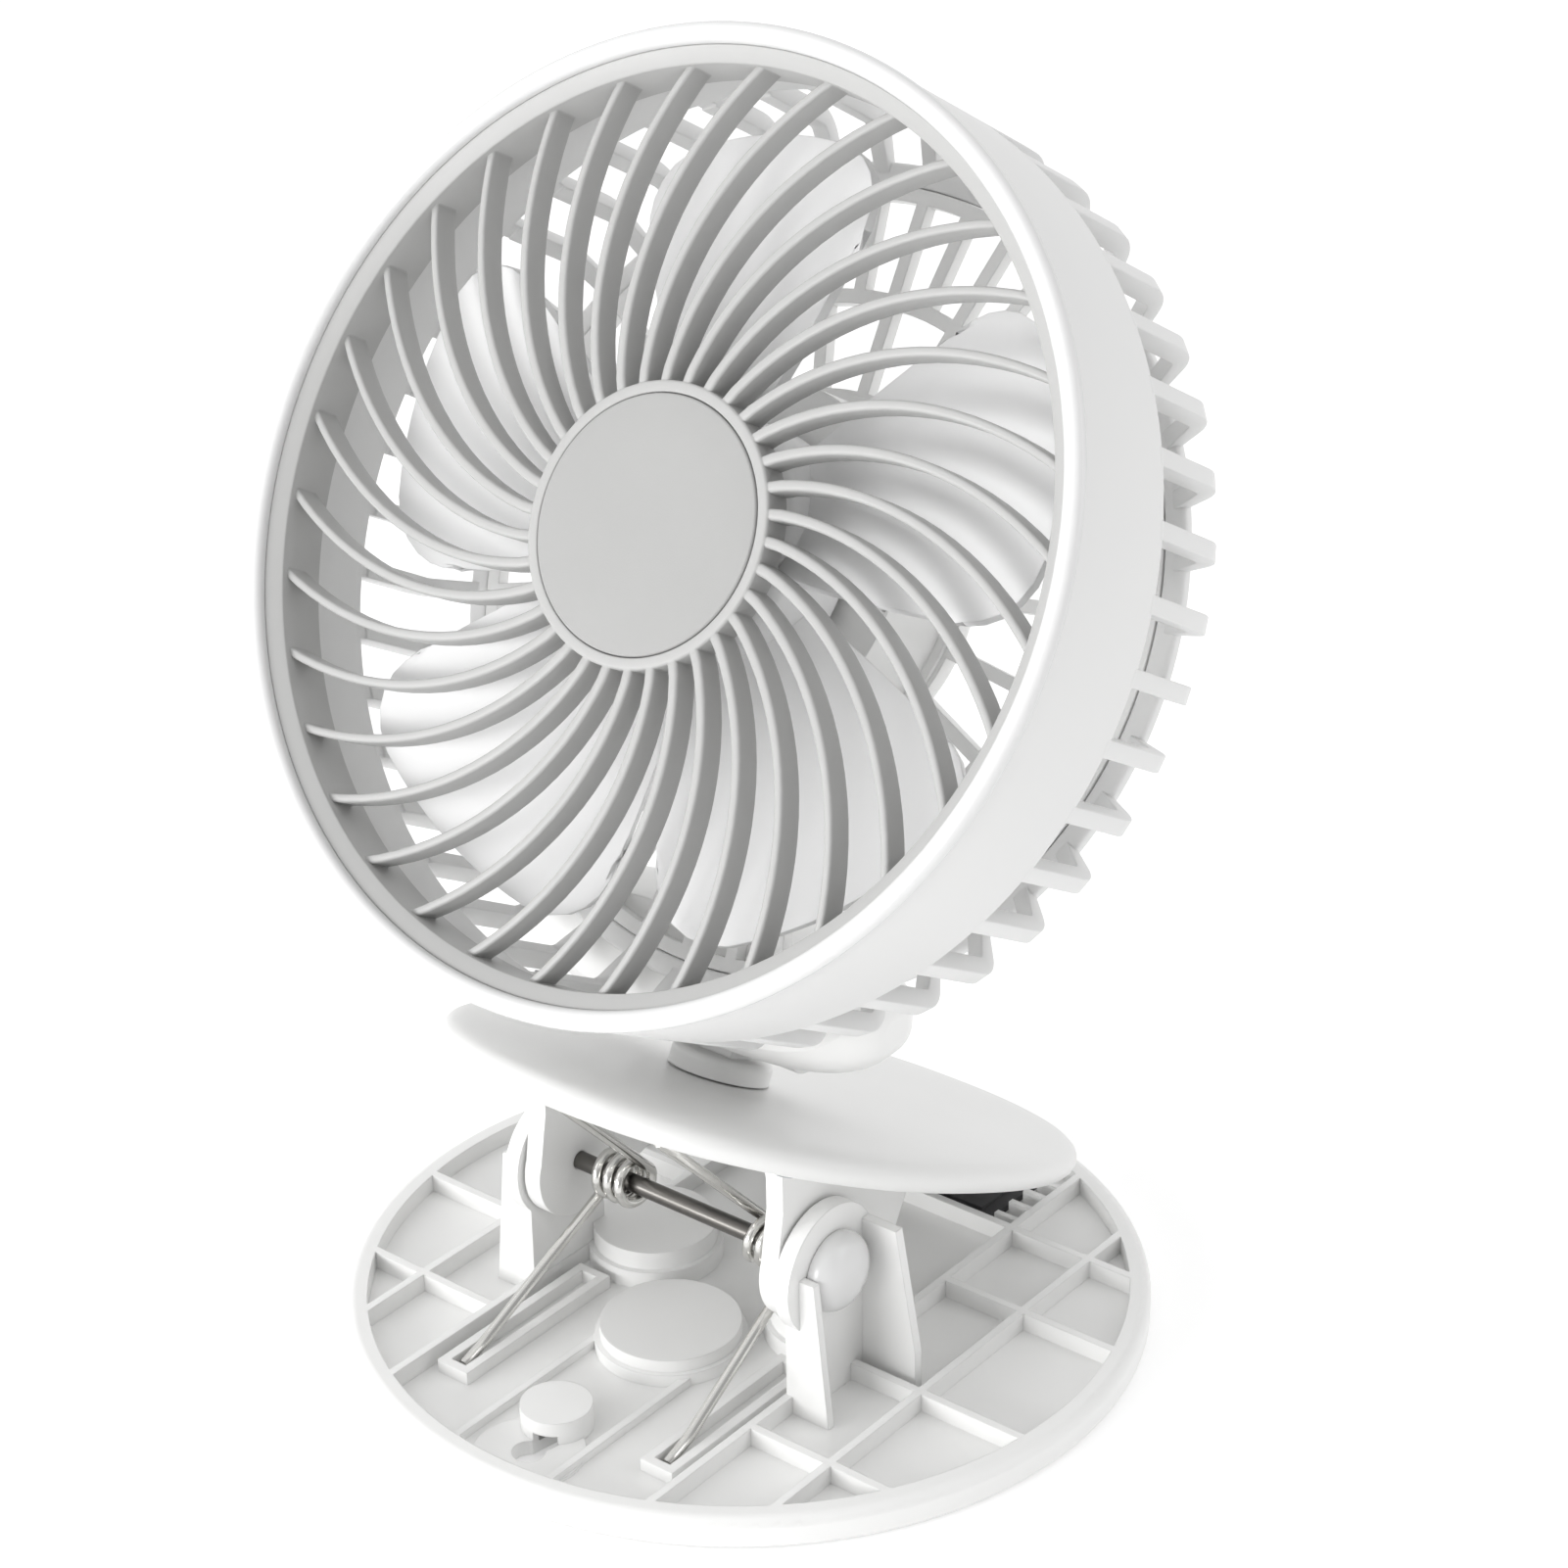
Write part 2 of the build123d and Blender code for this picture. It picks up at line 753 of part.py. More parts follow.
with BuildPart() as upper_jaw_shell:
    with BuildSketch(jaw.offset(shell_bottom)):
        oval_face(shell_half_width, shell_half_length)
    extrude(amount=shell_thickness)
    shell_edges = upper_jaw_shell.edges().sort_by(lambda edge: edge.length)[-2:]
    fillet(shell_edges, radius=shell_round)
    with BuildSketch(jaw.offset(shell_bottom)):
        oval_face(shell_half_width - frame_inset, shell_half_length - frame_inset)
    extrude(amount=frame_thickness, mode=Mode.SUBTRACT)
    with BuildSketch(jaw.offset(frame_top)):
        with Locations((0, -swivel_from_centre)):
            Circle(shaft_radius + running_fit)
    extrude(amount=shell_thickness, mode=Mode.SUBTRACT)
    with BuildSketch(jaw.offset(frame_top)):
        with Locations(*jaw_screw_places):
            Circle(screw_shank)
    extrude(amount=jaw_screw_grip, mode=Mode.SUBTRACT)
finish(upper_jaw_shell, "upper_jaw_shell")


def jaw_ear(side):
    plate_front = jaw.from_local_coords((0, 0, frame_top)).Z
    slope = math.tan(jaw_angle)
    front_top = plate_front - slope * (ear_front - jaw_centre.Y)
    back_top = plate_front - slope * (ear_back - jaw_centre.Y)
    section = Plane(origin=(side * ear_inner_x, 0, 0), x_dir=(0, side, 0), z_dir=(side, 0, 0))
    with BuildSketch(section) as profile:
        with Locations((side * axle_y, axle_z)):
            Circle(ear_end_radius)
        with BuildLine():
            Polyline(
                (side * (axle_y - ear_end_radius), axle_z),
                (side * ear_front, (front_top + axle_z) / 2),
                (side * ear_front, front_top - frame_thickness / 2),
                (side * ear_back, back_top - frame_thickness / 2),
                (side * ear_back, ear_back_z),
                (side * ear_low_back, ear_low_back_z),
                (side * axle_y, axle_z - ear_end_radius),
                close=True,
            )
        make_face()
    extrude(profile.sketch, amount=ear_thickness)


def ear_gusset(side, along):
    inner = ear_inner_x + ear_thickness / 2
    top = frame_top - frame_thickness / 2
    low = shell_bottom
    across = Plane(
        origin=jaw.from_local_coords((0, along, 0)), x_dir=(1, 0, 0), z_dir=jaw.y_dir * -1
    )
    with BuildSketch(across) as profile:
        with BuildLine():
            Polyline(
                (side * inner, top),
                (side * (ear_inner_x - gusset_reach), top),
                (side * (ear_inner_x - gusset_reach), low),
                (side * ear_inner_x, low - gusset_drop),
                (side * inner, low - gusset_drop),
                close=True,
            )
        make_face()
    extrude(profile.sketch, amount=gusset_thickness / 2, both=True)


with BuildPart() as upper_jaw_frame:
    with BuildSketch(jaw.offset(shell_bottom)):
        oval_face(
            shell_half_width - frame_inset - seat_fit, shell_half_length - frame_inset - seat_fit
        )
    extrude(amount=frame_thickness)
    for side in (-1, 1):
        jaw_ear(side)
        for step in range(gusset_count):
            ear_gusset(side, gusset_first + gusset_spacing * step)
    with BuildSketch(jaw.offset(shell_bottom)):
        with Locations((0, -swivel_from_centre)):
            Circle(shaft_radius + running_fit)
        with Locations(*jaw_screw_places):
            Circle(screw_shank + seat_fit)
    extrude(amount=frame_thickness, mode=Mode.SUBTRACT)
    with BuildSketch(jaw.offset(shell_bottom)):
        with Locations((0, (upper_pad_front + upper_pad_back) / 2)):
            Rectangle(
                2 * (upper_pad_half_width + seat_fit),
                upper_pad_back - upper_pad_front + 2 * seat_fit,
            )
    extrude(amount=upper_pad_recess, mode=Mode.SUBTRACT)
    with BuildSketch(Plane.YZ.offset(-cap_outer_x)):
        with Locations((axle_y, axle_z)):
            Circle(axle_radius + running_fit)
    extrude(amount=2 * cap_outer_x, mode=Mode.SUBTRACT)
finish(upper_jaw_frame, "upper_jaw_frame")

with BuildPart() as upper_jaw_pad:
    with BuildSketch(jaw.offset(shell_bottom + upper_pad_recess)):
        with Locations((0, (upper_pad_front + upper_pad_back) / 2)):
            Rectangle(2 * upper_pad_half_width, upper_pad_back - upper_pad_front)
    extrude(amount=-upper_pad_thickness)
finish(upper_jaw_pad, "upper_jaw_pad")

with BuildPart() as jaw_screws:
    with BuildSketch(jaw.offset(shell_bottom)):
        with Locations(*jaw_screw_places):
            Circle(screw_head_radius)
    extrude(amount=-screw_head_height)
    with BuildSketch(jaw.offset(shell_bottom)):
        with Locations(*jaw_screw_places):
            Circle(screw_shank)
    extrude(amount=frame_thickness + jaw_screw_grip)
finish(jaw_screws, "jaw_screws")

# ================================================================ neck
with BuildPart() as swivel_post:
    with BuildSketch(swivel.offset(shell_bottom)):
        Circle(shaft_radius)
    extrude(amount=shell_thickness + moving_gap)
    with BuildSketch(swivel.offset(shell_top + moving_gap)):
        Circle(collar_radius)
    extrude(amount=collar_height)
    fillet(swivel_post.edges().filter_by(GeomType.CIRCLE).sort_by(swivel_axis)[-1], radius=collar_round)
    eye_section = Plane(
        origin=swivel.from_local_coords((-eye_half_width, 0, 0)),
        x_dir=swivel.y_dir,
        z_dir=(1, 0, 0),
    )
    with BuildSketch(eye_section):
        with Locations((0, pin_height)):
            Circle(eye_radius)
        with Locations((0, (pin_height + shell_top) / 2)):
            Rectangle(2 * eye_radius, pin_height - shell_top - 2 * moving_gap)
    extrude(amount=2 * eye_half_width)
    with BuildSketch(eye_section):
        with Locations((0, pin_height)):
            Circle(pin_radius + running_fit)
    extrude(amount=2 * eye_half_width, mode=Mode.SUBTRACT)
    with BuildSketch(swivel.offset(shell_bottom)):
        Circle(swivel_screw_radius)
    extrude(amount=swivel_screw_depth, mode=Mode.SUBTRACT)
finish(swivel_post, "swivel_post")

with BuildPart() as swivel_washer:
    with BuildSketch(swivel.offset(shell_bottom - moving_gap)):
        Circle(washer_radius)
        Circle(swivel_screw_radius + seat_fit, mode=Mode.SUBTRACT)
    extrude(amount=-washer_thickness)
    with BuildSketch(swivel.offset(shell_bottom)):
        Circle(shaft_radius - seat_fit)
        Circle(swivel_screw_radius + seat_fit, mode=Mode.SUBTRACT)
    extrude(amount=-moving_gap - washer_thickness)
finish(swivel_washer, "swivel_washer")

with BuildPart() as swivel_screw:
    with BuildSketch(swivel.offset(shell_bottom - moving_gap - washer_thickness)):
        Circle(swivel_screw_head)
    extrude(amount=-swivel_screw_head_height)
    with BuildSketch(swivel.offset(shell_bottom - moving_gap - washer_thickness)):
        Circle(swivel_screw_radius)
    extrude(amount=moving_gap + washer_thickness + swivel_screw_depth)
finish(swivel_screw, "swivel_screw")

slot_half_width = eye_half_width + moving_gap
slot_radius = eye_radius + 2 * moving_gap
pin_half_length = lug_half_span - pin_end_wall
pin_section = Plane(origin=pin_centre, x_dir=(0, 1, 0), z_dir=(1, 0, 0))

with BuildPart() as tilt_pin:
    with BuildSketch(pin_section.offset(-pin_half_length)):
        Circle(pin_radius)
    extrude(amount=2 * pin_half_length)
finish(tilt_pin, "tilt_pin")


def housing_form(shrink):
    # rounded sections along X, each the cut of one soft box
    half_length = housing_half_length - shrink
    half_depth = housing_half_depth - shrink
    half_height = housing_half_height - shrink
    shares = [math.sin(math.radians(form_step * step)) for step in range(-6, 7)]
    sections = []
    for share in shares:
        scale_by = (1 - abs(share) ** housing_power) ** (1 / housing_power)
        at = Vector(share * half_length, housing_centre.Y, housing_centre.Z)
        with BuildSketch(Plane(origin=at, x_dir=(0, 1, 0), z_dir=(1, 0, 0))) as profile:
            with BuildLine():
                Spline(
                    *oval_points(half_depth * scale_by, half_height * scale_by, housing_power, 24),
                    periodic=True,
                )
            make_face()
        sections.append(profile.sketch)
    loft(sections=sections)


def front_of_rear_plane(depth):
    # everything in front of a plane that lies this deep behind the head's front
    with BuildSketch(head.offset(-depth)) as profile:
        Rectangle(4 * drum_radius, 4 * drum_radius)
    extrude(profile.sketch, amount=2 * drum_radius, mode=Mode.SUBTRACT)


with BuildPart() as housing_cavity:
    housing_form(housing_wall)
    front_of_rear_plane(rear_depth + housing_wall)
    with BuildSketch(pin_section.offset(-lug_half_span - housing_wall)):
        with Locations((0, lug_radius)):
            Rectangle(4 * housing_half_depth, 2 * (slot_radius + housing_wall) - 2 * lug_radius)
        Circle(slot_radius + housing_wall)
    extrude(amount=2 * (lug_half_span + housing_wall), mode=Mode.SUBTRACT)

door_plane = Plane(
    origin=(0, housing_centre.Y, housing_centre.Z), x_dir=(-1, 0, 0), z_dir=(0, 1, 0)
)


door_inner = housing_half_depth - door_rib_inset
door_screw_seat = housing_half_depth - housing_wall / 2
door_screw_places = Locations((-door_screw_x, 0), (door_screw_x, 0))


def door_screw_hole(radius, start, depth):
    with BuildSketch(door_plane.offset(start)) as profile:
        with door_screw_places:
            Circle(radius)
    extrude(profile.sketch, amount=-depth, mode=Mode.SUBTRACT)


with BuildPart() as battery_housing:
    housing_form(0)
    with BuildSketch(pin_section.offset(-lug_half_span)):
        Circle(lug_radius)
        with Locations((0, lug_radius)):
            Rectangle(2 * lug_radius, 2 * lug_radius)
    extrude(amount=2 * lug_half_span)
    front_of_rear_plane(rear_depth)
    add(housing_cavity.part, mode=Mode.SUBTRACT)
    with BuildSketch(pin_section.offset(-slot_half_width)):
        Circle(slot_radius)
        with Locations((-slot_relief / 2, slot_relief_top / 2 - lug_radius)):
            Rectangle(2 * slot_radius + slot_relief, 2 * lug_radius + slot_relief_top)
    extrude(amount=2 * slot_half_width, mode=Mode.SUBTRACT)
    with BuildSketch(pin_section.offset(-pin_half_length)):
        Circle(pin_radius + running_fit)
    extrude(amount=2 * pin_half_length, mode=Mode.SUBTRACT)
    with BuildSketch(door_plane.offset(door_inner)):
        RectangleRounded(
            2 * (door_half_length + seat_fit), 2 * (door_half_height + seat_fit), door_corner
        )
    extrude(amount=2 * housing_half_depth, mode=Mode.SUBTRACT)
    with BuildSketch(door_plane.offset(door_inner)):
        with door_screw_places:
            Rectangle(door_rib_width, 2 * (housing_half_height - door_rib_shorter))
    extrude(amount=-door_rib_depth)
    door_screw_hole(motor_screw_radius, door_inner, door_rib_depth)
finish(battery_housing, "battery_housing")

with BuildPart() as battery_door:
    housing_form(0)
    add(housing_cavity.part, mode=Mode.SUBTRACT)
    with BuildSketch(door_plane.offset(door_inner)):
        RectangleRounded(2 * door_half_length, 2 * door_half_height, door_corner)
    extrude(amount=2 * housing_half_depth, mode=Mode.INTERSECT)
    door_screw_hole(motor_screw_head + seat_fit, housing_half_depth, housing_wall / 2)
    door_screw_hole(motor_screw_radius + seat_fit, door_screw_seat, housing_wall)
finish(battery_door, "battery_door")

cell_centre = Vector(
    0, pin_centre.Y + cell_back_of_pin, pin_centre.Z + slot_radius + housing_wall + cell_half_height
)
with BuildPart() as battery_cell:
    with BuildSketch(Plane(origin=cell_centre - Vector(cell_half_length, 0, 0), z_dir=(1, 0, 0))):
        RectangleRounded(2 * cell_half_height, 2 * cell_half_depth, cell_corner)
    extrude(amount=2 * cell_half_length)
finish(battery_cell, "battery_cell")

# ================================================================ head: drum with fins
def fin_outline():
    slope_start = fin_end
    with BuildLine() as outline:
        Polyline(
            (drum_inner, -fin_start + fin_bite),
            (drum_radius, -fin_start + fin_bite),
            (drum_radius, -slope_start),
            (rear_ring_outer, -rear_depth + rear_thickness / 2),
            (rear_ring_inner, -rear_depth + rear_thickness / 2),
            (rear_ring_inner + fin_reach / 2, -rear_depth + rear_thickness),
            (drum_radius - fin_reach, -slope_start + fin_reach / 2),
            (drum_radius - fin_reach, -fin_start - fin_bite),
            (drum_inner, -fin_start - fin_bite),
            close=True,
        )
    make_face(outline.edges())


with BuildPart() as drum_fins:
    with BuildSketch(head_section) as fin_profile:
        fin_outline()
        fin_tip = fin_profile.vertices().sort_by_distance((drum_radius, -fin_end))[0]
        fillet(fin_tip, radius=fin_tip_round)
    revolve(axis=head_axis)
    with BuildSketch(head.offset(-rear_depth)):
        with PolarLocations(drum_radius - fin_reach, fin_count, start_angle=fin_first_angle):
            Rectangle(4 * fin_reach + 2 * (drum_radius - rear_ring_outer), fin_width)
    extrude(amount=rear_depth - fin_start + fin_bite, mode=Mode.INTERSECT)

with BuildPart() as drum_shell:
    with BuildSketch(head_section):
        with BuildLine():
            front = -trim_depth
            ledge = -grille_ring_depth - grille_flange
            Polyline(
                (drum_inner, -fin_start),
                (drum_radius, -fin_start),
                (drum_radius, front),
                (rebate_radius, front),
                (rebate_radius, ledge),
                (drum_inner, ledge),
                close=True,
            )
        make_face()
    revolve(axis=head_axis)
    add(drum_fins.part)
    with BuildSketch(head.offset(-rear_depth)):
        Circle(rear_ring_outer)
        Circle(rear_ring_inner, mode=Mode.SUBTRACT)
    extrude(amount=rear_thickness)
finish(drum_shell, "drum_shell")

# ================================================================ rear grille and motor seat
# Flat rings and radial bars. The seat is a cup whose flange rests on the inner ring.
bar_outer = rear_ring_inner - seat_fit
inner_ring_inside = seat_radius + seat_fit
inner_ring_outside = inner_ring_inside + inner_ring_width


def flat_ring(inner, outer):
    with BuildSketch(head.offset(-rear_depth)) as profile:
        Circle(outer)
        Circle(inner, mode=Mode.SUBTRACT)
    extrude(profile.sketch, amount=rear_thickness)


def radial_bars(inner, outer, count):
    with BuildSketch(head.offset(-rear_depth)) as profile:
        with PolarLocations((inner + outer) / 2, count, start_angle=fin_first_angle):
            Rectangle(outer - inner, rear_bar_width)
    extrude(profile.sketch, amount=rear_thickness)


with BuildPart() as rear_grille:
    flat_ring(bar_outer - middle_ring_width, bar_outer)
    flat_ring(middle_ring_radius - middle_ring_width, middle_ring_radius)
    flat_ring(inner_ring_inside, inner_ring_outside)
    radial_bars(middle_ring_radius - bar_bite, bar_outer - bar_bite, rear_outer_bars)
    radial_bars(inner_ring_outside - bar_bite, middle_ring_radius - bar_bite, rear_inner_bars)
finish(rear_grille, "rear_grille")

cover_screw_places = PolarLocations(cover_screw_circle, cover_screw_count, start_angle=90)
motor_screw_places = PolarLocations(motor_screw_circle, 2, start_angle=0)

with BuildPart() as motor_seat:
    with BuildSketch(head.offset(-rear_depth)):
        Circle(seat_radius)
    extrude(amount=rear_depth - seat_front)
    with BuildSketch(head.offset(-rear_depth + rear_thickness)):
        Circle(seat_radius + seat_flange_reach)
    extrude(amount=seat_flange_thickness)
    with BuildSketch(head.offset(-rear_depth)):
        Circle(seat_radius - seat_wall)
    extrude(amount=rear_depth - seat_front - seat_wall, mode=Mode.SUBTRACT)
    with BuildSketch(head.offset(-rear_depth)):
        with cover_screw_places:
            Circle(cover_boss_radius)
        with cover_screw_places:
            Circle(motor_screw_radius, mode=Mode.SUBTRACT)
    extrude(amount=rear_depth - seat_front - seat_wall)
    with BuildSketch(head.offset(-seat_front)):
        Circle(motor_shaft_radius + moving_gap)
        with motor_screw_places:
            Circle(motor_screw_radius + seat_fit)
    extrude(amount=-seat_wall, mode=Mode.SUBTRACT)
    with BuildSketch(head.offset(-seat_front)):
        with BuildLine():
            CenterArc(
                (0, 0),
                seat_radius - seam_inset,
                seam_first_angle,
                seam_last_angle - seam_first_angle,
            )
        trace(line_width=seam_width)
    extrude(amount=-seat_wall / 2, mode=Mode.SUBTRACT)
finish(motor_seat, "motor_seat")

with BuildPart() as motor_body:
    motor_front = seat_front + seat_wall
    with BuildSketch(head.offset(-motor_front)):
        Circle(motor_radius)
    extrude(amount=-motor_length)
    chamfer(motor_body.edges().filter_by(GeomType.CIRCLE).sort_by(head_axis)[0], length=motor_edge)
    with BuildSketch(head.offset(-motor_front)):
        Circle(motor_shaft_radius + running_fit)
        with motor_screw_places:
            Circle(motor_screw_radius)
    extrude(amount=-motor_screw_depth, mode=Mode.SUBTRACT)
finish(motor_body, "motor_body")

nut_front = impeller_hub_front - nut_thickness
shaft_end = motor_front + motor_screw_depth - running_fit
with BuildPart() as motor_shaft:
    with BuildSketch(head.offset(-shaft_end)):
        Circle(motor_shaft_radius)
    extrude(amount=shaft_end - nut_front - nut_thickness / 4)
finish(motor_shaft, "motor_shaft")

with BuildPart() as motor_screws:
    with BuildSketch(head.offset(-seat_front)):
        with motor_screw_places:
            Circle(motor_screw_head)
    extrude(amount=motor_screw_head_height)
    with BuildSketch(head.offset(-seat_front)):
        with motor_screw_places:
            Circle(motor_screw_radius - running_fit)
    extrude(amount=-seat_wall - motor_screw_depth + running_fit)
finish(motor_screws, "motor_screws")

# ================================================================ impeller
# Hub cup with a domed front, and five broad petals cut from twisted plates.


def petal_outline(turn):
    root = impeller_hub_radius - impeller_wall / 2
    with BuildLine() as outline:
        low_root = polar(root, turn - blade_root_half_angle)
        low_tip = polar(blade_tip_radius, turn - blade_half_angle)
        top = polar(blade_tip_radius, turn)
        high_tip = polar(blade_tip_radius, turn + blade_half_angle)
        high_root = polar(root, turn + blade_root_half_angle)
        Line(low_root, low_tip)
        ThreePointArc(low_tip, top, high_tip)
        Line(high_tip, high_root)
        Line(high_root, low_root)
    with BuildSketch(head.offset(-impeller_hub_back)) as profile:
        make_face(outline.edges())
        corners = profile.vertices().sort_by(lambda corner: corner.X ** 2 + corner.Y ** 2)[-2:]
        fillet(corners, radius=blade_corner)
    return profile.sketch


def blade_section(turn, radius, slope):
    # a flat bar across the petal, tilted by the blade's slope at this radius
    out = head.x_dir * math.cos(math.radians(turn)) + head.y_dir * math.sin(math.radians(turn))
    across = head.y_dir * math.cos(math.radians(turn)) - head.x_dir * math.sin(math.radians(turn))
    tilt = math.radians(slope)
    along = across * math.cos(tilt) - head_normal * math.sin(tilt)
    at = head_centre + out * radius - head_normal * blade_mid_depth
    half_angle = math.radians(blade_root_half_angle)
    length = 2 * radius * math.tan(half_angle) + blade_thickness
    with BuildSketch(Plane(origin=at, x_dir=along, z_dir=out)) as profile:
        Rectangle(length, blade_thickness)
    return profile.sketch


def petal(turn):
    with BuildPart(mode=Mode.PRIVATE) as twisted:
        inner = blade_section(turn, impeller_hub_radius - blade_root_bite, blade_root_slope)
        outer = blade_section(turn, blade_tip_radius + blade_thickness, blade_tip_slope)
        loft(sections=[inner, outer], ruled=True)
        extrude(
            petal_outline(turn),
            amount=impeller_hub_back - impeller_hub_front + 2 * impeller_hub_round,
            mode=Mode.INTERSECT,
        )
    return twisted.part


def hub_cup():
    back = -impeller_hub_back
    front = -impeller_hub_front
    inner = impeller_hub_radius - impeller_wall
    with BuildSketch(head_section) as profile:
        with BuildLine():
            Polyline(
                (0, front),
                (impeller_hub_radius, front),
                (impeller_hub_radius, back),
                (inner, back),
                (inner, front - impeller_wall),
                (impeller_boss, front - impeller_wall),
                (impeller_boss, back + impeller_wall),
                (0, back + impeller_wall),
                close=True,
            )
        make_face()
        outer = profile.vertices().sort_by(lambda corner: corner.X + corner.Y)[-1]
        fillet(outer, radius=impeller_hub_round)
    revolve(profile.sketch, axis=head_axis)


petals = [petal(blade_first_angle + 360 / blade_count * step) for step in range(blade_count)]
with BuildPart() as impeller:
    hub_cup()
    add(petals)
    with BuildSketch(head.offset(-impeller_hub_back)):
        Circle(motor_shaft_radius)
    extrude(amount=impeller_hub_back, mode=Mode.SUBTRACT)
    with BuildSketch(head.offset(-impeller_hub_back)):
        Circle(impeller_hub_radius - impeller_wall)
        Circle(impeller_boss, mode=Mode.SUBTRACT)
    extrude(
        amount=impeller_hub_back - impeller_hub_front - 2 * impeller_wall, mode=Mode.SUBTRACT
    )
finish(impeller, "impeller")

with BuildPart() as impeller_nut:
    with BuildSketch(head.offset(-impeller_hub_front)):
        RegularPolygon(nut_radius, 6)
        Circle(motor_shaft_radius, mode=Mode.SUBTRACT)
    extrude(amount=nut_thickness)
finish(impeller_nut, "impeller_nut")

# ================================================================ front grille and trim ring
grille_ring_outer = rebate_radius - seat_fit
grille_ring_inner = grille_ring_outer - grille_ring_width


def swirl_point(radius, shift, first):
    share = (radius - grille_hub_radius) / (grille_ring_inner - grille_hub_radius)
    turn = first - swirl_angle * max(share, 0) ** swirl_power
    return polar(radius, turn + math.degrees(shift / radius))


def swirl_rib(first):
    # one curved rib from the hub to the ring, with softened front edges
    low = grille_hub_radius - rib_bite
    high = grille_ring_inner + rib_bite
    steps = 7
    radii = [low + (high - low) * step / (steps - 1) for step in range(steps)]
    one_side = [swirl_point(radius, rib_width / 2, first) for radius in radii]
    other_side = [swirl_point(radius, -rib_width / 2, first) for radius in radii]
    with BuildLine() as outline:
        Spline(*one_side)
        Spline(*other_side)
        Line(one_side[0], other_side[0])
        Line(one_side[-1], other_side[-1])
    with BuildPart(mode=Mode.PRIVATE) as rib:
        with BuildSketch(head.offset(-rib_front - rib_depth)) as profile:
            make_face(outline.edges())
        extrude(profile.sketch, amount=rib_depth)
        long_edges = rib.edges().sort_by(lambda edge: edge.length)[-4:]
        fillet(long_edges.sort_by(head_axis)[-2:], radius=rib_round)
    return rib.part


swirl_ribs = [swirl_rib(rib_hub_angle + 360 / rib_count * step) for step in range(rib_count)]
with BuildPart() as front_grille:
    with BuildSketch(head_section):
        with BuildLine():
            flange_back = -grille_ring_depth - grille_flange
            Polyline(
                (grille_ring_inner, -grille_ring_depth),
                (grille_ring_outer, -grille_ring_depth),
                (grille_ring_outer, flange_back),
                (grille_ring_inner + grille_wall, flange_back),
                (grille_ring_inner + grille_wall, -grille_depth),
                (grille_ring_inner, -grille_depth),
                close=True,
            )
        make_face()
    revolve(axis=head_axis)
    with BuildSketch(head.offset(-rib_front - rib_depth)):
        Circle(grille_hub_radius)
    extrude(amount=rib_front + rib_depth - hub_front)
    add(swirl_ribs)
    with BuildSketch(head.offset(-hub_front)):
        Circle(hub_disc_radius + seat_fit)
    extrude(amount=-hub_disc_thickness + hub_disc_proud, mode=Mode.SUBTRACT)
    with BuildSketch(head.offset(-rib_front - rib_depth)):
        Circle(grille_hub_radius - hub_base_thickness)
    extrude(
        amount=rib_front + rib_depth - hub_front - hub_disc_thickness - hub_base_thickness,
        mode=Mode.SUBTRACT,
    )
finish(front_grille, "front_grille")

with BuildPart() as hub_disc:
    with BuildSketch(head.offset(-hub_front + hub_disc_proud)):
        Circle(hub_disc_radius)
    extrude(amount=-hub_disc_thickness)
    fillet(hub_disc.edges().sort_by(head_axis)[-1], radius=hub_disc_proud)
finish(hub_disc, "hub_disc")

with BuildPart() as trim_ring:
    with BuildSketch(head_section) as trim_profile:
        with BuildLine():
            Polyline(
                (rebate_radius, trim_front),
                (drum_radius + trim_overhang, trim_front),
                (drum_radius + trim_overhang, -trim_depth),
                (rebate_radius, -trim_depth),
                close=True,
            )
        make_face()
        front_corners = trim_profile.vertices().sort_by(Axis.Y)[-2:]
        fillet(front_corners, radius=trim_round)
    revolve(axis=head_axis)
finish(trim_ring, "trim_ring")

# ================================================================ rear cover and controls
lens_place = (lens_side, 0)
with BuildPart() as rear_cover:
    with BuildSketch(head.offset(-cover_back)):
        Circle(cover_radius)
    extrude(amount=cover_thickness)
    fillet(rear_cover.edges().sort_by(head_axis)[0], radius=cover_round)
    with BuildSketch(head.offset(-rear_depth)):
        Circle(seat_radius - seat_wall - seat_fit)
        Circle(board_radius + seat_wall, mode=Mode.SUBTRACT)
        with cover_screw_places:
            Circle(cover_boss_radius + moving_gap, mode=Mode.SUBTRACT)
    extrude(amount=board_lift)
    with BuildSketch(head.offset(-rear_depth)):
        with PolarLocations(board_radius - board_notch_inset, 4, start_angle=45):
            Circle(board_notch_radius)
    extrude(amount=board_lift)
    with BuildSketch(head.offset(-cover_back)):
        with Locations((0, button_above)):
            Circle(button_radius + moving_gap)
        with Locations((0, -socket_below)):
            Rectangle(
                2 * (socket_half_width + seat_fit), 2 * (socket_half_height + seat_fit)
            )
        with Locations(lens_place):
            Circle(lens_radius + running_fit)
        with cover_screw_places:
            Circle(motor_screw_radius + seat_fit)
    extrude(amount=cover_thickness + board_lift, mode=Mode.SUBTRACT)
finish(rear_cover, "rear_cover")

with BuildPart() as circuit_board:
    with BuildSketch(head.offset(-rear_depth + board_lift)):
        Circle(board_radius)
    extrude(amount=board_thickness)
    with BuildSketch(head.offset(-rear_depth + board_lift)):
        with Locations((0, button_above)):
            Rectangle(switch_side, switch_side)
    extrude(amount=button_flange + button_travel + running_fit - board_lift)
finish(circuit_board, "circuit_board")

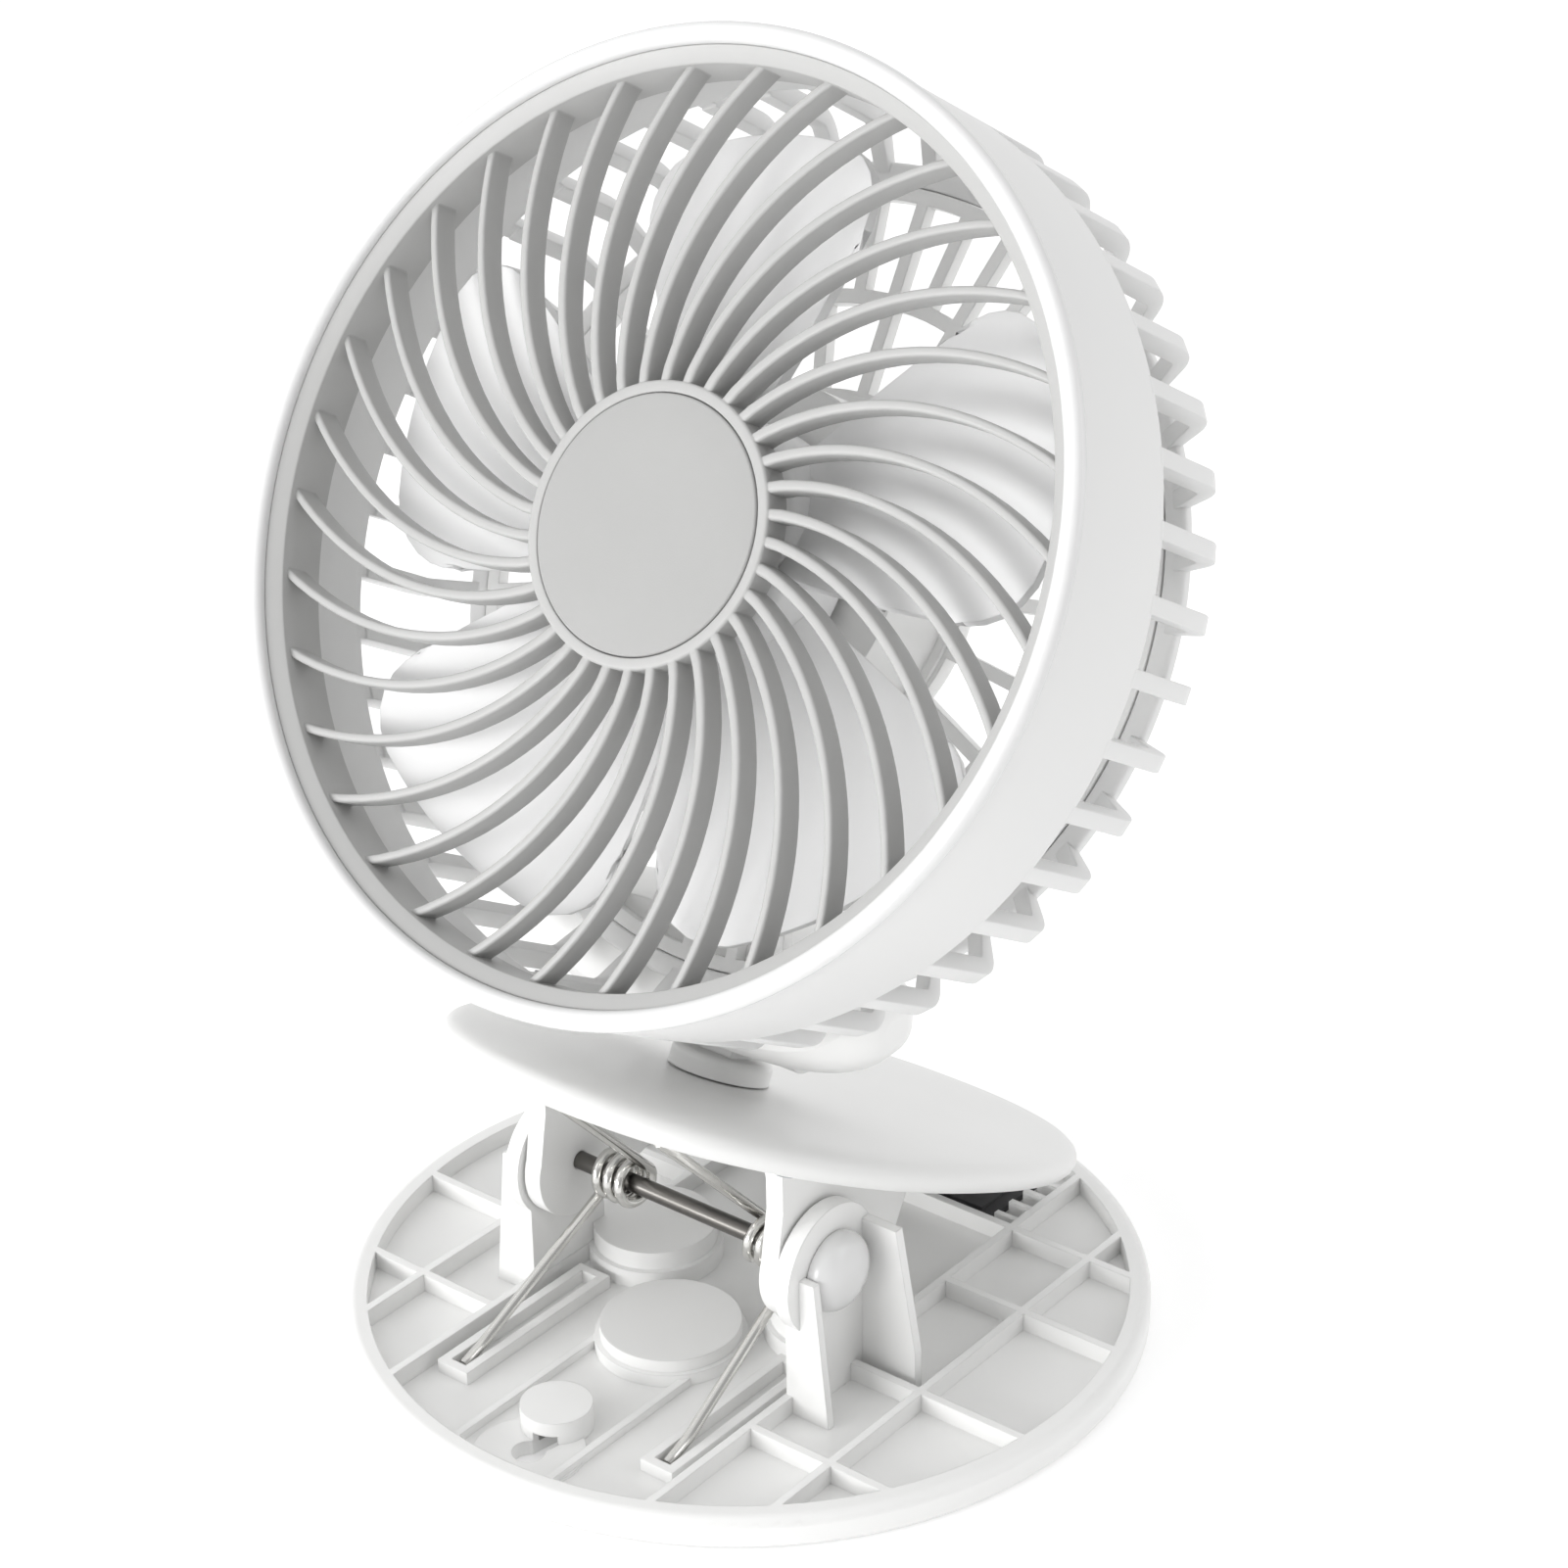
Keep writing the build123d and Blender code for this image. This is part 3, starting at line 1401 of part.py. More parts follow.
with BuildPart() as power_button:
    with BuildSketch(head.offset(-rear_depth)):
        with Locations((0, button_above)):
            Circle(button_radius)
    extrude(amount=-cover_thickness - button_proud)
    fillet(power_button.edges().sort_by(head_axis)[0], radius=button_round)
    with BuildSketch(head.offset(-rear_depth)):
        with Locations((0, button_above)):
            Circle(button_radius + button_flange_width)
    extrude(amount=button_flange)
finish(power_button, "power_button")

with BuildPart() as charging_socket:
    with BuildSketch(head.offset(-cover_back)) as socket_profile:
        with Locations((0, -socket_below)):
            RectangleRounded(2 * socket_half_width, 2 * socket_half_height, socket_corner)
    extrude(amount=cover_back - rear_depth + board_lift)
    with BuildSketch(head.offset(-cover_back)):
        with Locations((0, -socket_below)):
            RectangleRounded(
                2 * (socket_half_width - socket_wall),
                2 * (socket_half_height - socket_wall),
                socket_corner - socket_wall,
            )
    extrude(amount=cover_thickness + board_lift - 2 * socket_wall, mode=Mode.SUBTRACT)
finish(charging_socket, "charging_socket")

with BuildPart() as status_lens:
    with BuildSketch(head.offset(-rear_depth + board_lift)):
        with Locations(lens_place):
            Circle(lens_radius)
    extrude(amount=-board_lift - cover_thickness - lens_proud)
finish(status_lens, "status_lens")

with BuildPart() as rear_cover_screws:
    with BuildSketch(head.offset(-cover_back)):
        with cover_screw_places:
            Circle(motor_screw_head)
    extrude(amount=-motor_screw_head_height)
    with BuildSketch(head.offset(-cover_back)):
        with cover_screw_places:
            Circle(motor_screw_radius - running_fit)
    extrude(amount=cover_thickness + 2 * motor_screw_depth)
finish(rear_cover_screws, "rear_cover_screws")

# ================================================================ battery fittings
with BuildPart() as battery_door_screws:
    with BuildSketch(door_plane.offset(door_screw_seat)):
        with door_screw_places:
            Circle(motor_screw_head)
    extrude(amount=housing_wall / 2)
    with BuildSketch(door_plane.offset(door_screw_seat)):
        with door_screw_places:
            Circle(motor_screw_radius - running_fit)
    extrude(amount=-door_rib_inset - door_rib_depth + housing_wall)
finish(battery_door_screws, "battery_door_screws")

with BuildPart() as battery_contacts:
    for side in (-1, 1):
        at = cell_centre + Vector(side * cell_half_length, 0, 0)
        with BuildSketch(Plane(origin=at, z_dir=(side, 0, 0))):
            Rectangle(2 * contact_half_width, 2 * contact_half_width)
        extrude(amount=contact_thickness)
finish(battery_contacts, "battery_contacts")
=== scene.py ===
import bpy
import bmesh
import math
from mathutils import Matrix, Vector


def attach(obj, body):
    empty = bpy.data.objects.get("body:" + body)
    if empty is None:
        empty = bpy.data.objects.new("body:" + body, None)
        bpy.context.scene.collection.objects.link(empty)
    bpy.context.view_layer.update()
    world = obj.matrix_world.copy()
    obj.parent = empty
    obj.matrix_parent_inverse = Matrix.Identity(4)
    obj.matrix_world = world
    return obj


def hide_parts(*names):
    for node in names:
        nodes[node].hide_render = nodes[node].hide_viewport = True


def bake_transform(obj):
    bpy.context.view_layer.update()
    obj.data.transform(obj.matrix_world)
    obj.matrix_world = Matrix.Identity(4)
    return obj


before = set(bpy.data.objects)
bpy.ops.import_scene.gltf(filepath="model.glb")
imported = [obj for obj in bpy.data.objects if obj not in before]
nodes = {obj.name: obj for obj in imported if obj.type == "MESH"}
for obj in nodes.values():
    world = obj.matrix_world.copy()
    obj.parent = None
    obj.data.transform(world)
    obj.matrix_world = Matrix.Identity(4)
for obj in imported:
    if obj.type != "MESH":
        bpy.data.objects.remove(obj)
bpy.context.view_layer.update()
mm = 0.001
print("frame loaded with", len(nodes), "nodes")

# places shared by the pieces, in mm and degrees: the head leans back, the oval plate slopes
placeValues = {
    "headLean": 29.46, "headY": -22.86, "headZ": 154.15,
    "jawSlope": 25.91, "jawY": 6.3, "jawZ": 39.5,
}
headTilt = math.radians(90 - placeValues["headLean"])
headPlace = (0, placeValues["headY"] * mm, placeValues["headZ"] * mm)
jawTilt = math.radians(-placeValues["jawSlope"])
jawPlace = (0, placeValues["jawY"] * mm, placeValues["jawZ"] * mm)


def linear(hexText):
    # sRGB hex to the linear colour that the shader wants
    channels = [int(hexText[i:i + 2], 16) / 255 for i in (1, 3, 5)]
    bent = [c / 12.92 if c <= 0.04045 else ((c + 0.055) / 1.055) ** 2.4 for c in channels]
    return (*bent, 1.0)


def addNode(tree, kind, settings=None, links=None):
    # settings: socket name or node property to value, links: input name to (node, output name)
    node = tree.nodes.new(kind)
    for key, value in (settings or {}).items():
        if isinstance(key, int) or key in node.inputs:
            node.inputs[key].default_value = value
        else:
            setattr(node, key, value)
    for key, (source, output) in (links or {}).items():
        tree.links.new(source.outputs[output], node.inputs[key])
    return node


def startMaterial(name, settings):
    material = bpy.data.materials.new(name)
    material.use_nodes = True
    tree = material.node_tree
    shader = tree.nodes["Principled BSDF"]
    for key, value in settings.items():
        shader.inputs[key].default_value = value
    return material, tree, shader


def joinNodes(tree, source, output, target, socket):
    tree.links.new(source.outputs[output], target.inputs[socket])


# what all the moulded pieces share: how far the gloss wanders and how deep the grain is
mouldedValues = {
    "glossDown": 0.05, "glossUp": 0.06, "grainDeepMm": 0.05, "coatRoughness": 0.2, "edgeSamples": 4,
}


def mouldedPlastic(name, values):
    # moulded resin: tool grain seen as a fine bump, a slow drift in gloss and tone, and the small
    # radius that every moulded edge has; the real grain is about 0.05 mm across, too fine to show,
    # so grainMm draws it as coarse as it needs to be
    shared = mouldedValues
    material, tree, shader = startMaterial(name, {
        "Roughness": values["roughness"], "IOR": values["ior"],
        "Coat Weight": values.get("coat", 0.0), "Coat Roughness": shared["coatRoughness"],
    })
    place = addNode(tree, "ShaderNodeTexCoord")
    drift = addNode(tree, "ShaderNodeTexNoise", {
        "Scale": 1 / (values["driftMm"] * mm), "Detail": 2.0,
    }, {"Vector": (place, "Object")})
    tone = addNode(tree, "ShaderNodeMix", {
        "data_type": "RGBA", 6: linear(values["colour"]), 7: linear(values["shade"]),
    }, {0: (drift, "Fac")})
    joinNodes(tree, tone, 2, shader, "Base Color")
    gloss = addNode(tree, "ShaderNodeMapRange", {
        "To Min": values["roughness"] - shared["glossDown"],
        "To Max": values["roughness"] + shared["glossUp"],
    }, {"Value": (drift, "Fac")})
    joinNodes(tree, gloss, "Result", shader, "Roughness")
    grain = addNode(tree, "ShaderNodeTexNoise", {
        "Scale": 1 / (values["grainMm"] * mm), "Detail": 3.0,
    }, {"Vector": (place, "Object")})
    edge = addNode(tree, "ShaderNodeBevel", {
        "samples": shared["edgeSamples"], "Radius": values["edgeMm"] * mm,
    })
    bump = addNode(tree, "ShaderNodeBump", {
        "Strength": values["grain"], "Distance": shared["grainDeepMm"] * mm,
    }, {"Height": (grain, "Fac"), "Normal": (edge, "Normal")})
    joinNodes(tree, bump, "Normal", shader, "Normal")
    return material


# what all the metals share: the size of the dull patches and how deep the lines are
metalValues = {
    "blotMm": 6, "glossDown": 0.05, "glossUp": 0.08, "lineStrength": 0.12, "lineDeepMm": 0.03,
}


def platedSteel(name, values):
    # drawn, turned or stamped metal: very fine lines that stretch a highlight; real lines are
    # about 0.02 mm apart, too fine to show, so lineMm draws them coarser
    shared = metalValues
    material, tree, shader = startMaterial(name, {
        "Metallic": 1.0, "Roughness": values["roughness"], "Base Color": linear(values["colour"]),
    })
    place = addNode(tree, "ShaderNodeTexCoord")
    lines = addNode(tree, "ShaderNodeTexNoise", {
        "Scale": 1 / (values["lineMm"] * mm), "Detail": 2.0,
    }, {"Vector": (place, "Object")})
    blot = addNode(tree, "ShaderNodeTexNoise", {
        "Scale": 1 / (shared["blotMm"] * mm), "Detail": 2.0,
    }, {"Vector": (place, "Object")})
    rough = addNode(tree, "ShaderNodeMapRange", {
        "To Min": values["roughness"] - shared["glossDown"],
        "To Max": values["roughness"] + shared["glossUp"],
    }, {"Value": (blot, "Fac")})
    joinNodes(tree, rough, "Result", shader, "Roughness")
    bump = addNode(tree, "ShaderNodeBump", {
        "Strength": shared["lineStrength"], "Distance": shared["lineDeepMm"] * mm,
    }, {"Height": (lines, "Fac")})
    joinNodes(tree, bump, "Normal", shader, "Normal")
    return material


def mouldedRubber(name, values):
    # soft black rubber pressed in a blasted tool: dull, with a coarse skin that catches dust;
    # the real skin is about 0.2 mm across and is drawn coarser, so that it shows
    material, tree, shader = startMaterial(name, {
        "Roughness": values["roughness"], "IOR": values["ior"],
    })
    place = addNode(tree, "ShaderNodeTexCoord")
    skin = addNode(tree, "ShaderNodeTexNoise", {
        "Scale": 1 / (values["skinMm"] * mm), "Detail": 4.0,
    }, {"Vector": (place, "Object")})
    dust = addNode(tree, "ShaderNodeTexNoise", {
        "Scale": 1 / (values["dustMm"] * mm), "Detail": 3.0,
    }, {"Vector": (place, "Object")})
    tone = addNode(tree, "ShaderNodeMix", {
        "data_type": "RGBA", 6: linear(values["colour"]), 7: linear(values["dust"]),
    }, {0: (dust, "Fac")})
    joinNodes(tree, tone, 2, shader, "Base Color")
    bump = addNode(tree, "ShaderNodeBump", {
        "Strength": values["skin"], "Distance": values["skinDeepMm"] * mm,
    }, {"Height": (skin, "Fac")})
    joinNodes(tree, bump, "Normal", shader, "Normal")
    return material


# white ABS from a spark-eroded tool: satin, so lights are soft patches
whiteAbs = mouldedPlastic("white moulded ABS", {
    "colour": "#EFEFEE", "shade": "#EBEBEA", "roughness": 0.36, "ior": 1.54, "driftMm": 30,
    "grainMm": 0.35, "grain": 0.12, "edgeMm": 0.35,
})
# white ABS from a polished tool: sharp bright streaks along the trim and the caps
glossAbs = mouldedPlastic("white polished ABS", {
    "colour": "#DFDFDF", "shade": "#DCDCDC", "roughness": 0.2, "ior": 1.54, "driftMm": 40,
    "grainMm": 0.6, "grain": 0.03, "edgeMm": 0.4, "coat": 0.3,
})
# white ABS with a satin skin: an even wall with no clear reflections
drumAbs = mouldedPlastic("white satin ABS drum", {
    "colour": "#E3E3E2", "shade": "#DFDFDF", "roughness": 0.42, "ior": 1.54, "driftMm": 45,
    "grainMm": 0.4, "grain": 0.1, "edgeMm": 0.3,
})
# white ABS with hardly any grain: the plate has a soft sheen toward its rim
plateAbs = mouldedPlastic("white smooth ABS plate", {
    "colour": "#E6E6E5", "shade": "#E3E3E2", "roughness": 0.38, "ior": 1.54, "driftMm": 40,
    "grainMm": 0.5, "grain": 0.04, "edgeMm": 0.3,
})
# grey ABS from a spark-eroded tool: the ribs' edges catch light, their sides stay soft
greyAbs = mouldedPlastic("pale grey satin ABS", {
    "colour": "#B5B5B4", "shade": "#B1B1B0", "roughness": 0.4, "ior": 1.54, "driftMm": 25,
    "grainMm": 0.35, "grain": 0.15, "edgeMm": 0.3,
})
# grey ABS from a blasted tool: flat and matt, a shade darker than the ribs round it
discAbs = mouldedPlastic("pale grey frosted ABS", {
    "colour": "#A9A9A8", "shade": "#A5A5A4", "roughness": 0.55, "ior": 1.5, "driftMm": 20,
    "grainMm": 0.3, "grain": 0.3, "edgeMm": 0.3,
})
# moulded polypropylene: a waxy white, duller than the ABS
bladePolypropylene = mouldedPlastic("white polypropylene blades", {
    "colour": "#F0F0F0", "shade": "#EDEDED", "roughness": 0.42, "ior": 1.49, "driftMm": 35,
    "grainMm": 0.5, "grain": 0.06, "edgeMm": 0.3,
})
# moulded rubber: near black, greyer where dust sits
padRubber = mouldedRubber("black moulded rubber", {
    "colour": "#3A3A3C", "dust": "#4A4A4B", "roughness": 0.72, "ior": 1.5,
    "skinMm": 0.5, "dustMm": 7, "skin": 0.4, "skinDeepMm": 0.08,
})
# drawn wire under bright nickel: light and dark bands on every turn
springWire = platedSteel("nickel plated spring wire", {
    "colour": "#D8D7D4", "roughness": 0.16, "lineMm": 0.25,
})
# turned steel with no plate: darker and duller than the wire
axleSteel = platedSteel("turned steel axle", {
    "colour": "#6E6C69", "roughness": 0.3, "lineMm": 0.18,
})
# zinc plate: a pale, slightly blue shine
screwSteel = platedSteel("zinc plated screws", {
    "colour": "#BFC1C4", "roughness": 0.3, "lineMm": 0.3,
})
# iron as cast: dark and matt
castIron = platedSteel("plain cast weights", {
    "colour": "#5F5D5A", "roughness": 0.6, "lineMm": 0.8,
})
# stamped brass: warm yellow strips
stripBrass = platedSteel("stamped brass strip", {
    "colour": "#C9A550", "roughness": 0.32, "lineMm": 0.3,
})
# glass fibre board under green lacquer: glossy, with the weave just felt
boardLaminate = mouldedPlastic("lacquered glass fibre board", {
    "colour": "#2F6B46", "shade": "#2A6140", "roughness": 0.3, "ior": 1.5, "driftMm": 8,
    "grainMm": 0.4, "grain": 0.2, "edgeMm": 0.1,
})
# vinyl sleeve shrunk round the cell: smooth blue
cellSleeve = mouldedPlastic("shrunk vinyl sleeve", {
    "colour": "#4A78A6", "shade": "#446F9A", "roughness": 0.35, "ior": 1.5, "driftMm": 12,
    "grainMm": 0.8, "grain": 0.1, "edgeMm": 0.2,
})
# polished milky polycarbonate: a small white dot, glossier than the cover round it
lensPolycarbonate = mouldedPlastic("milky polycarbonate", {
    "colour": "#F2F4F2", "shade": "#E9ECEA", "roughness": 0.25, "ior": 1.58, "driftMm": 5,
    "grainMm": 0.3, "grain": 0.05, "edgeMm": 0.15,
})

finishes = {
    "base_plate": whiteAbs, "base_feet": padRubber, "ballast_weights": castIron,
    "lower_jaw_pad": padRubber, "clamp_axle": axleSteel, "axle_caps": whiteAbs,
    "spring_left": springWire, "spring_right": springWire, "upper_jaw_shell": whiteAbs,
    "upper_jaw_frame": whiteAbs, "upper_jaw_pad": padRubber, "jaw_screws": screwSteel,
    "swivel_post": whiteAbs, "swivel_washer": screwSteel, "swivel_screw": screwSteel,
    "tilt_pin": screwSteel, "battery_housing": whiteAbs, "battery_door": whiteAbs,
    "battery_door_screws": screwSteel, "battery_cell": cellSleeve, "battery_contacts": stripBrass,
    "drum_shell": whiteAbs, "rear_grille": whiteAbs, "motor_seat": whiteAbs, "trim_ring": glossAbs,
    "front_grille": greyAbs, "hub_disc": discAbs, "motor_body": screwSteel,
    "motor_screws": screwSteel, "rear_cover": whiteAbs, "rear_cover_screws": screwSteel,
    "circuit_board": boardLaminate, "charging_socket": screwSteel, "status_lens": lensPolycarbonate,
    "impeller": bladePolypropylene, "motor_shaft": axleSteel, "impeller_nut": screwSteel,
    "power_button": greyAbs,
}
for nodeName, finish in finishes.items():
    meshData = nodes[nodeName].data
    meshData.materials.clear()
    meshData.materials.append(finish)
print("materials made")

# how finely the shapes are drawn: steps round a turned piece, the distance in mm at which points
# are merged, the angle from which an edge is rounded and the one up to which faces are smooth
meshValues = {
    "ringSteps": 192, "hubSteps": 128, "capSteps": 64, "mergeMm": 0.002, "sharpDegrees": 50,
    "smoothDegrees": 35, "bevelSegments": 3,
}


def only(piece):
    bpy.ops.object.select_all(action="DESELECT")
    piece.select_set(True)
    bpy.context.view_layer.objects.active = piece


def settle(piece, tilt, place):
    # modelled flat at the origin, then turned and set down, with its place left in its mesh
    only(piece)
    piece.rotation_euler = (tilt, 0, 0)
    piece.location = place
    bpy.ops.object.transform_apply(location=True, rotation=True, scale=True)


def turnedTo(piece, degrees):
    piece.rotation_euler = (0, 0, math.radians(degrees))
    only(piece)
    bpy.ops.object.transform_apply(location=False, rotation=True, scale=False)


def applied(piece, kind, settings):
    modifier = piece.modifiers.new(kind.lower(), kind)
    for key, value in settings.items():
        setattr(modifier, key, value)
    only(piece)
    bpy.ops.object.modifier_apply(modifier=modifier.name)


def bevelled(piece, width, degrees=meshValues["sharpDegrees"]):
    applied(piece, "BEVEL", {
        "width": width * mm, "segments": meshValues["bevelSegments"], "limit_method": "ANGLE",
        "angle_limit": math.radians(degrees),
    })


def startEdit():
    bpy.ops.object.mode_set(mode="EDIT")
    bpy.ops.mesh.select_all(action="SELECT")


def endEdit():
    # every face outwards, then back to object mode
    bpy.ops.mesh.select_all(action="SELECT")
    bpy.ops.mesh.normals_make_consistent(inside=False)
    bpy.ops.object.mode_set(mode="OBJECT")


def joined(parts, name):
    only(parts[0])
    for part in parts[1:]:
        part.select_set(True)
    bpy.ops.object.join()
    piece = bpy.context.object
    piece.name = name
    return piece


def roundCopies(piece, count, name):
    # the same shape all round the local Z axis, every copy with its own mesh
    copies = [piece]
    for index in range(1, count):
        only(piece)
        bpy.ops.object.duplicate()
        twin = bpy.context.object
        twin.rotation_euler = (0, 0, math.tau / count * index)
        only(twin)
        bpy.ops.object.transform_apply(location=False, rotation=True, scale=False)
        copies.append(twin)
    return joined(copies, name)


def smooth(piece, degrees=meshValues["smoothDegrees"]):
    only(piece)
    bpy.ops.object.shade_smooth_by_angle(angle=math.radians(degrees))


def dress(piece, finish, slotName, body, *replacedNodes):
    piece.data.materials.clear()
    piece.data.materials.append(finish)
    if body:
        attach(piece, body)
    if replacedNodes:
        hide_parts(*replacedNodes)


def roundedOutline(corners, steps):
    # corners as (x, y, radius) in mm: each round one becomes points on its arc
    points = []
    for index, (x, y, radius) in enumerate(corners):
        here = Vector((x, y))
        if radius == 0:
            points.append((x, y))
            continue
        before = (Vector(corners[index - 1][:2]) - here).normalized()
        after = (Vector(corners[(index + 1) % len(corners)][:2]) - here).normalized()
        half = before.angle(after) / 2
        middle = here + (before + after).normalized() * radius / math.sin(half)
        first = here + before * radius / math.tan(half) - middle
        last = here + after * radius / math.tan(half) - middle
        start = math.atan2(first.y, first.x)
        sweep = (math.atan2(last.y, last.x) - start + math.pi) % math.tau - math.pi
        for step in range(steps + 1):
            turn = start + sweep * step / steps
            points.append((middle.x + radius * math.cos(turn), middle.y + radius * math.sin(turn)))
    return points


def lathe(name, corners, steps, arcSteps=5):
    # a closed outline of radius and height, spun round Z
    outline = roundedOutline(corners, arcSteps)
    bpy.ops.object.select_all(action="DESELECT")
    bpy.ops.mesh.primitive_circle_add(vertices=len(outline), radius=0.01)
    piece = bpy.context.object
    piece.name = name
    for vertex, (radius, height) in zip(piece.data.vertices, outline):
        vertex.co = (radius * mm, 0, height * mm)
    startEdit()
    bpy.ops.mesh.spin(steps=steps, angle=math.tau, center=(0, 0, 0), axis=(0, 0, 1))
    bpy.ops.mesh.select_all(action="SELECT")
    bpy.ops.mesh.remove_doubles(threshold=meshValues["mergeMm"] * mm)
    bpy.ops.mesh.delete_loose(use_verts=True, use_edges=True, use_faces=False)
    endEdit()
    return piece


# trim ring: polished bead round the front, with a fine shut line where it meets the drum
trimValues = {
    "inner": 74.5, "outer": 77.9, "front": 1.6, "back": -0.2, "bead": 1.35,
    "shutLine": 0.25, "shutDepth": 0.5, "lip": 0.12, "beadSteps": 9, "smoothTo": 40,
}


def makeTrimRing(v):
    inner, outer, front, back = v["inner"], v["outer"], v["front"], v["back"]
    ring = lathe("trimRing", [
        (inner, front, v["bead"]), (outer, front, v["bead"]),
        (outer, back + v["shutLine"], v["lip"]), (outer - v["shutDepth"], back + v["shutLine"], 0),
        (outer - v["shutDepth"], back, 0), (inner, back, 0),
    ], meshValues["ringSteps"], v["beadSteps"])
    smooth(ring, v["smoothTo"])
    settle(ring, headTilt, headPlace)
    dress(ring, glossAbs, "white_shell", "head", "trim_ring")


makeTrimRing(trimValues)
print("trim ring made")

# drum: smooth wall, the fins that run back from it, and the rear ring that they meet
drumValues = {
    "inner": 74.5, "outer": 77.5, "front": -0.2, "wallBack": -24.5, "rebate": 76.0, "ledge": -3.3,
    "innerEdge": 0.4, "outerEdge": 0.6, "lip": 0.12,
    "finCount": 44, "firstFin": 7.5, "finWidth": 2.9, "finEdge": 0.55, "finBack": -43.5,
    "finTip": 7.0, "finReach": 3.4, "finBite": 1, "finFoot": 0.4, "finElbow": 1.6, "finSteps": 7,
    "ringOuter": 69.4, "ringInner": 65.7, "back": -49.5, "ringThick": 2.5,
    "ringInnerEdge": 0.5, "ringOuterEdge": 0.7,
}


def makeFin(v):
    outer, finInner, wallBack = v["outer"], v["outer"] - v["finReach"], v["wallBack"]
    middle = v["back"] + v["ringThick"] / 2
    outline = roundedOutline([
        (v["inner"], wallBack + v["finBite"], 0), (outer, wallBack + v["finBite"], 0),
        (outer, v["finBack"], v["finTip"]),
        (v["ringOuter"], middle, 0), (v["ringInner"] + v["finFoot"], middle, 0),
        (v["ringInner"] + v["finReach"] / 2, v["back"] + v["ringThick"], 0),
        (finInner, v["finBack"] + v["finReach"] / 2, v["finElbow"]),
        (finInner, wallBack - v["finBite"], 0), (v["inner"], wallBack - v["finBite"], 0),
    ], v["finSteps"])
    bpy.ops.object.select_all(action="DESELECT")
    bpy.ops.mesh.primitive_circle_add(vertices=len(outline), radius=0.01, fill_type="NGON")
    fin = bpy.context.object
    fin.name = "fin"
    width = v["finWidth"] * mm
    for vertex, (x, y) in zip(fin.data.vertices, outline):
        vertex.co = (x * mm, -width / 2, y * mm)
    startEdit()
    bpy.ops.mesh.extrude_region_move(TRANSFORM_OT_translate={"value": (0, width, 0)})
    endEdit()
    bevelled(fin, v["finEdge"])
    turnedTo(fin, v["firstFin"])
    return fin


def makeDrum(v):
    inner, outer, front, back = v["inner"], v["outer"], v["front"], v["back"]
    wall = lathe("drumWall", [
        (inner, v["wallBack"], v["innerEdge"]), (outer, v["wallBack"], v["outerEdge"]),
        (outer, front, v["lip"]), (v["rebate"], front, 0), (v["rebate"], v["ledge"], 0),
        (inner, v["ledge"], 0),
    ], meshValues["ringSteps"])
    fins = roundCopies(makeFin(v), v["finCount"], "fins")
    ringFront = back + v["ringThick"]
    ring = lathe("rearRing", [
        (v["ringInner"], back, v["ringInnerEdge"]), (v["ringOuter"], back, v["ringOuterEdge"]),
        (v["ringOuter"], ringFront, v["ringOuterEdge"]),
        (v["ringInner"], ringFront, v["ringInnerEdge"]),
    ], meshValues["ringSteps"])
    drum = joined([wall, fins, ring], "drum")
    smooth(drum)
    settle(drum, headTilt, headPlace)
    dress(drum, drumAbs, "white_shell", "head", "drum_shell")


makeDrum(drumValues)
print("drum made")

# front grille: sloped ring with its inner wall, swirling ribs, and the cup that holds the disc
grilleValues = {
    "ringInner": 71.85, "ringOuter": 75.85, "ringFront": -1.3, "flangeBack": -3.3, "wall": 1.8,
    "slopeLow": -1.5, "slopeHigh": -0.1, "slopeOuter": 74.48, "depth": -10.6,
    "faceEdge": 0.35, "slopeEdge": 0.04, "wallEdge": 0.3,
    "ribCount": 34, "ribFront": -2.6, "ribDepth": 5.0, "ribWidth": 1.8, "ribEdge": 0.5,
    "ribFirst": 7.0, "ribBite": 0.8, "ribSteps": 18, "swirl": 29.7, "swirlPower": 1.08,
    "hub": 22.6, "hubFront": -2.4, "hubBack": -7.6, "recess": 20.65, "seat": -3.4,
    "seatBack": -5.4, "hollow": 20.8, "recessEdge": 0.25, "hubEdge": 0.5, "hubBackEdge": 0.2,
}


def ribPoint(v, radius, shift):
    share = max((radius - v["hub"]) / (v["ringInner"] - v["hub"]), 0)
    turn = math.radians(v["ribFirst"] - v["swirl"] * share ** v["swirlPower"]) + shift / radius
    return radius * math.cos(turn) * mm, radius * math.sin(turn) * mm


def makeRib(v):
    bpy.ops.object.select_all(action="DESELECT")
    bpy.ops.mesh.primitive_grid_add(x_subdivisions=v["ribSteps"], y_subdivisions=1, size=1)
    rib = bpy.context.object
    low, high = v["hub"] - v["ribBite"], v["ringInner"] + v["ribBite"]
    for vertex in rib.data.vertices:
        radius = low + (high - low) * (vertex.co.x + 0.5)
        side = 1 if vertex.co.y > 0 else -1
        x, y = ribPoint(v, radius, side * v["ribWidth"] / 2)
        vertex.co = (x, y, v["ribFront"] * mm)
    startEdit()
    bpy.ops.mesh.extrude_region_move(TRANSFORM_OT_translate={"value": (0, 0, -v["ribDepth"] * mm)})
    endEdit()
    bevelled(rib, v["ribEdge"])
    return rib


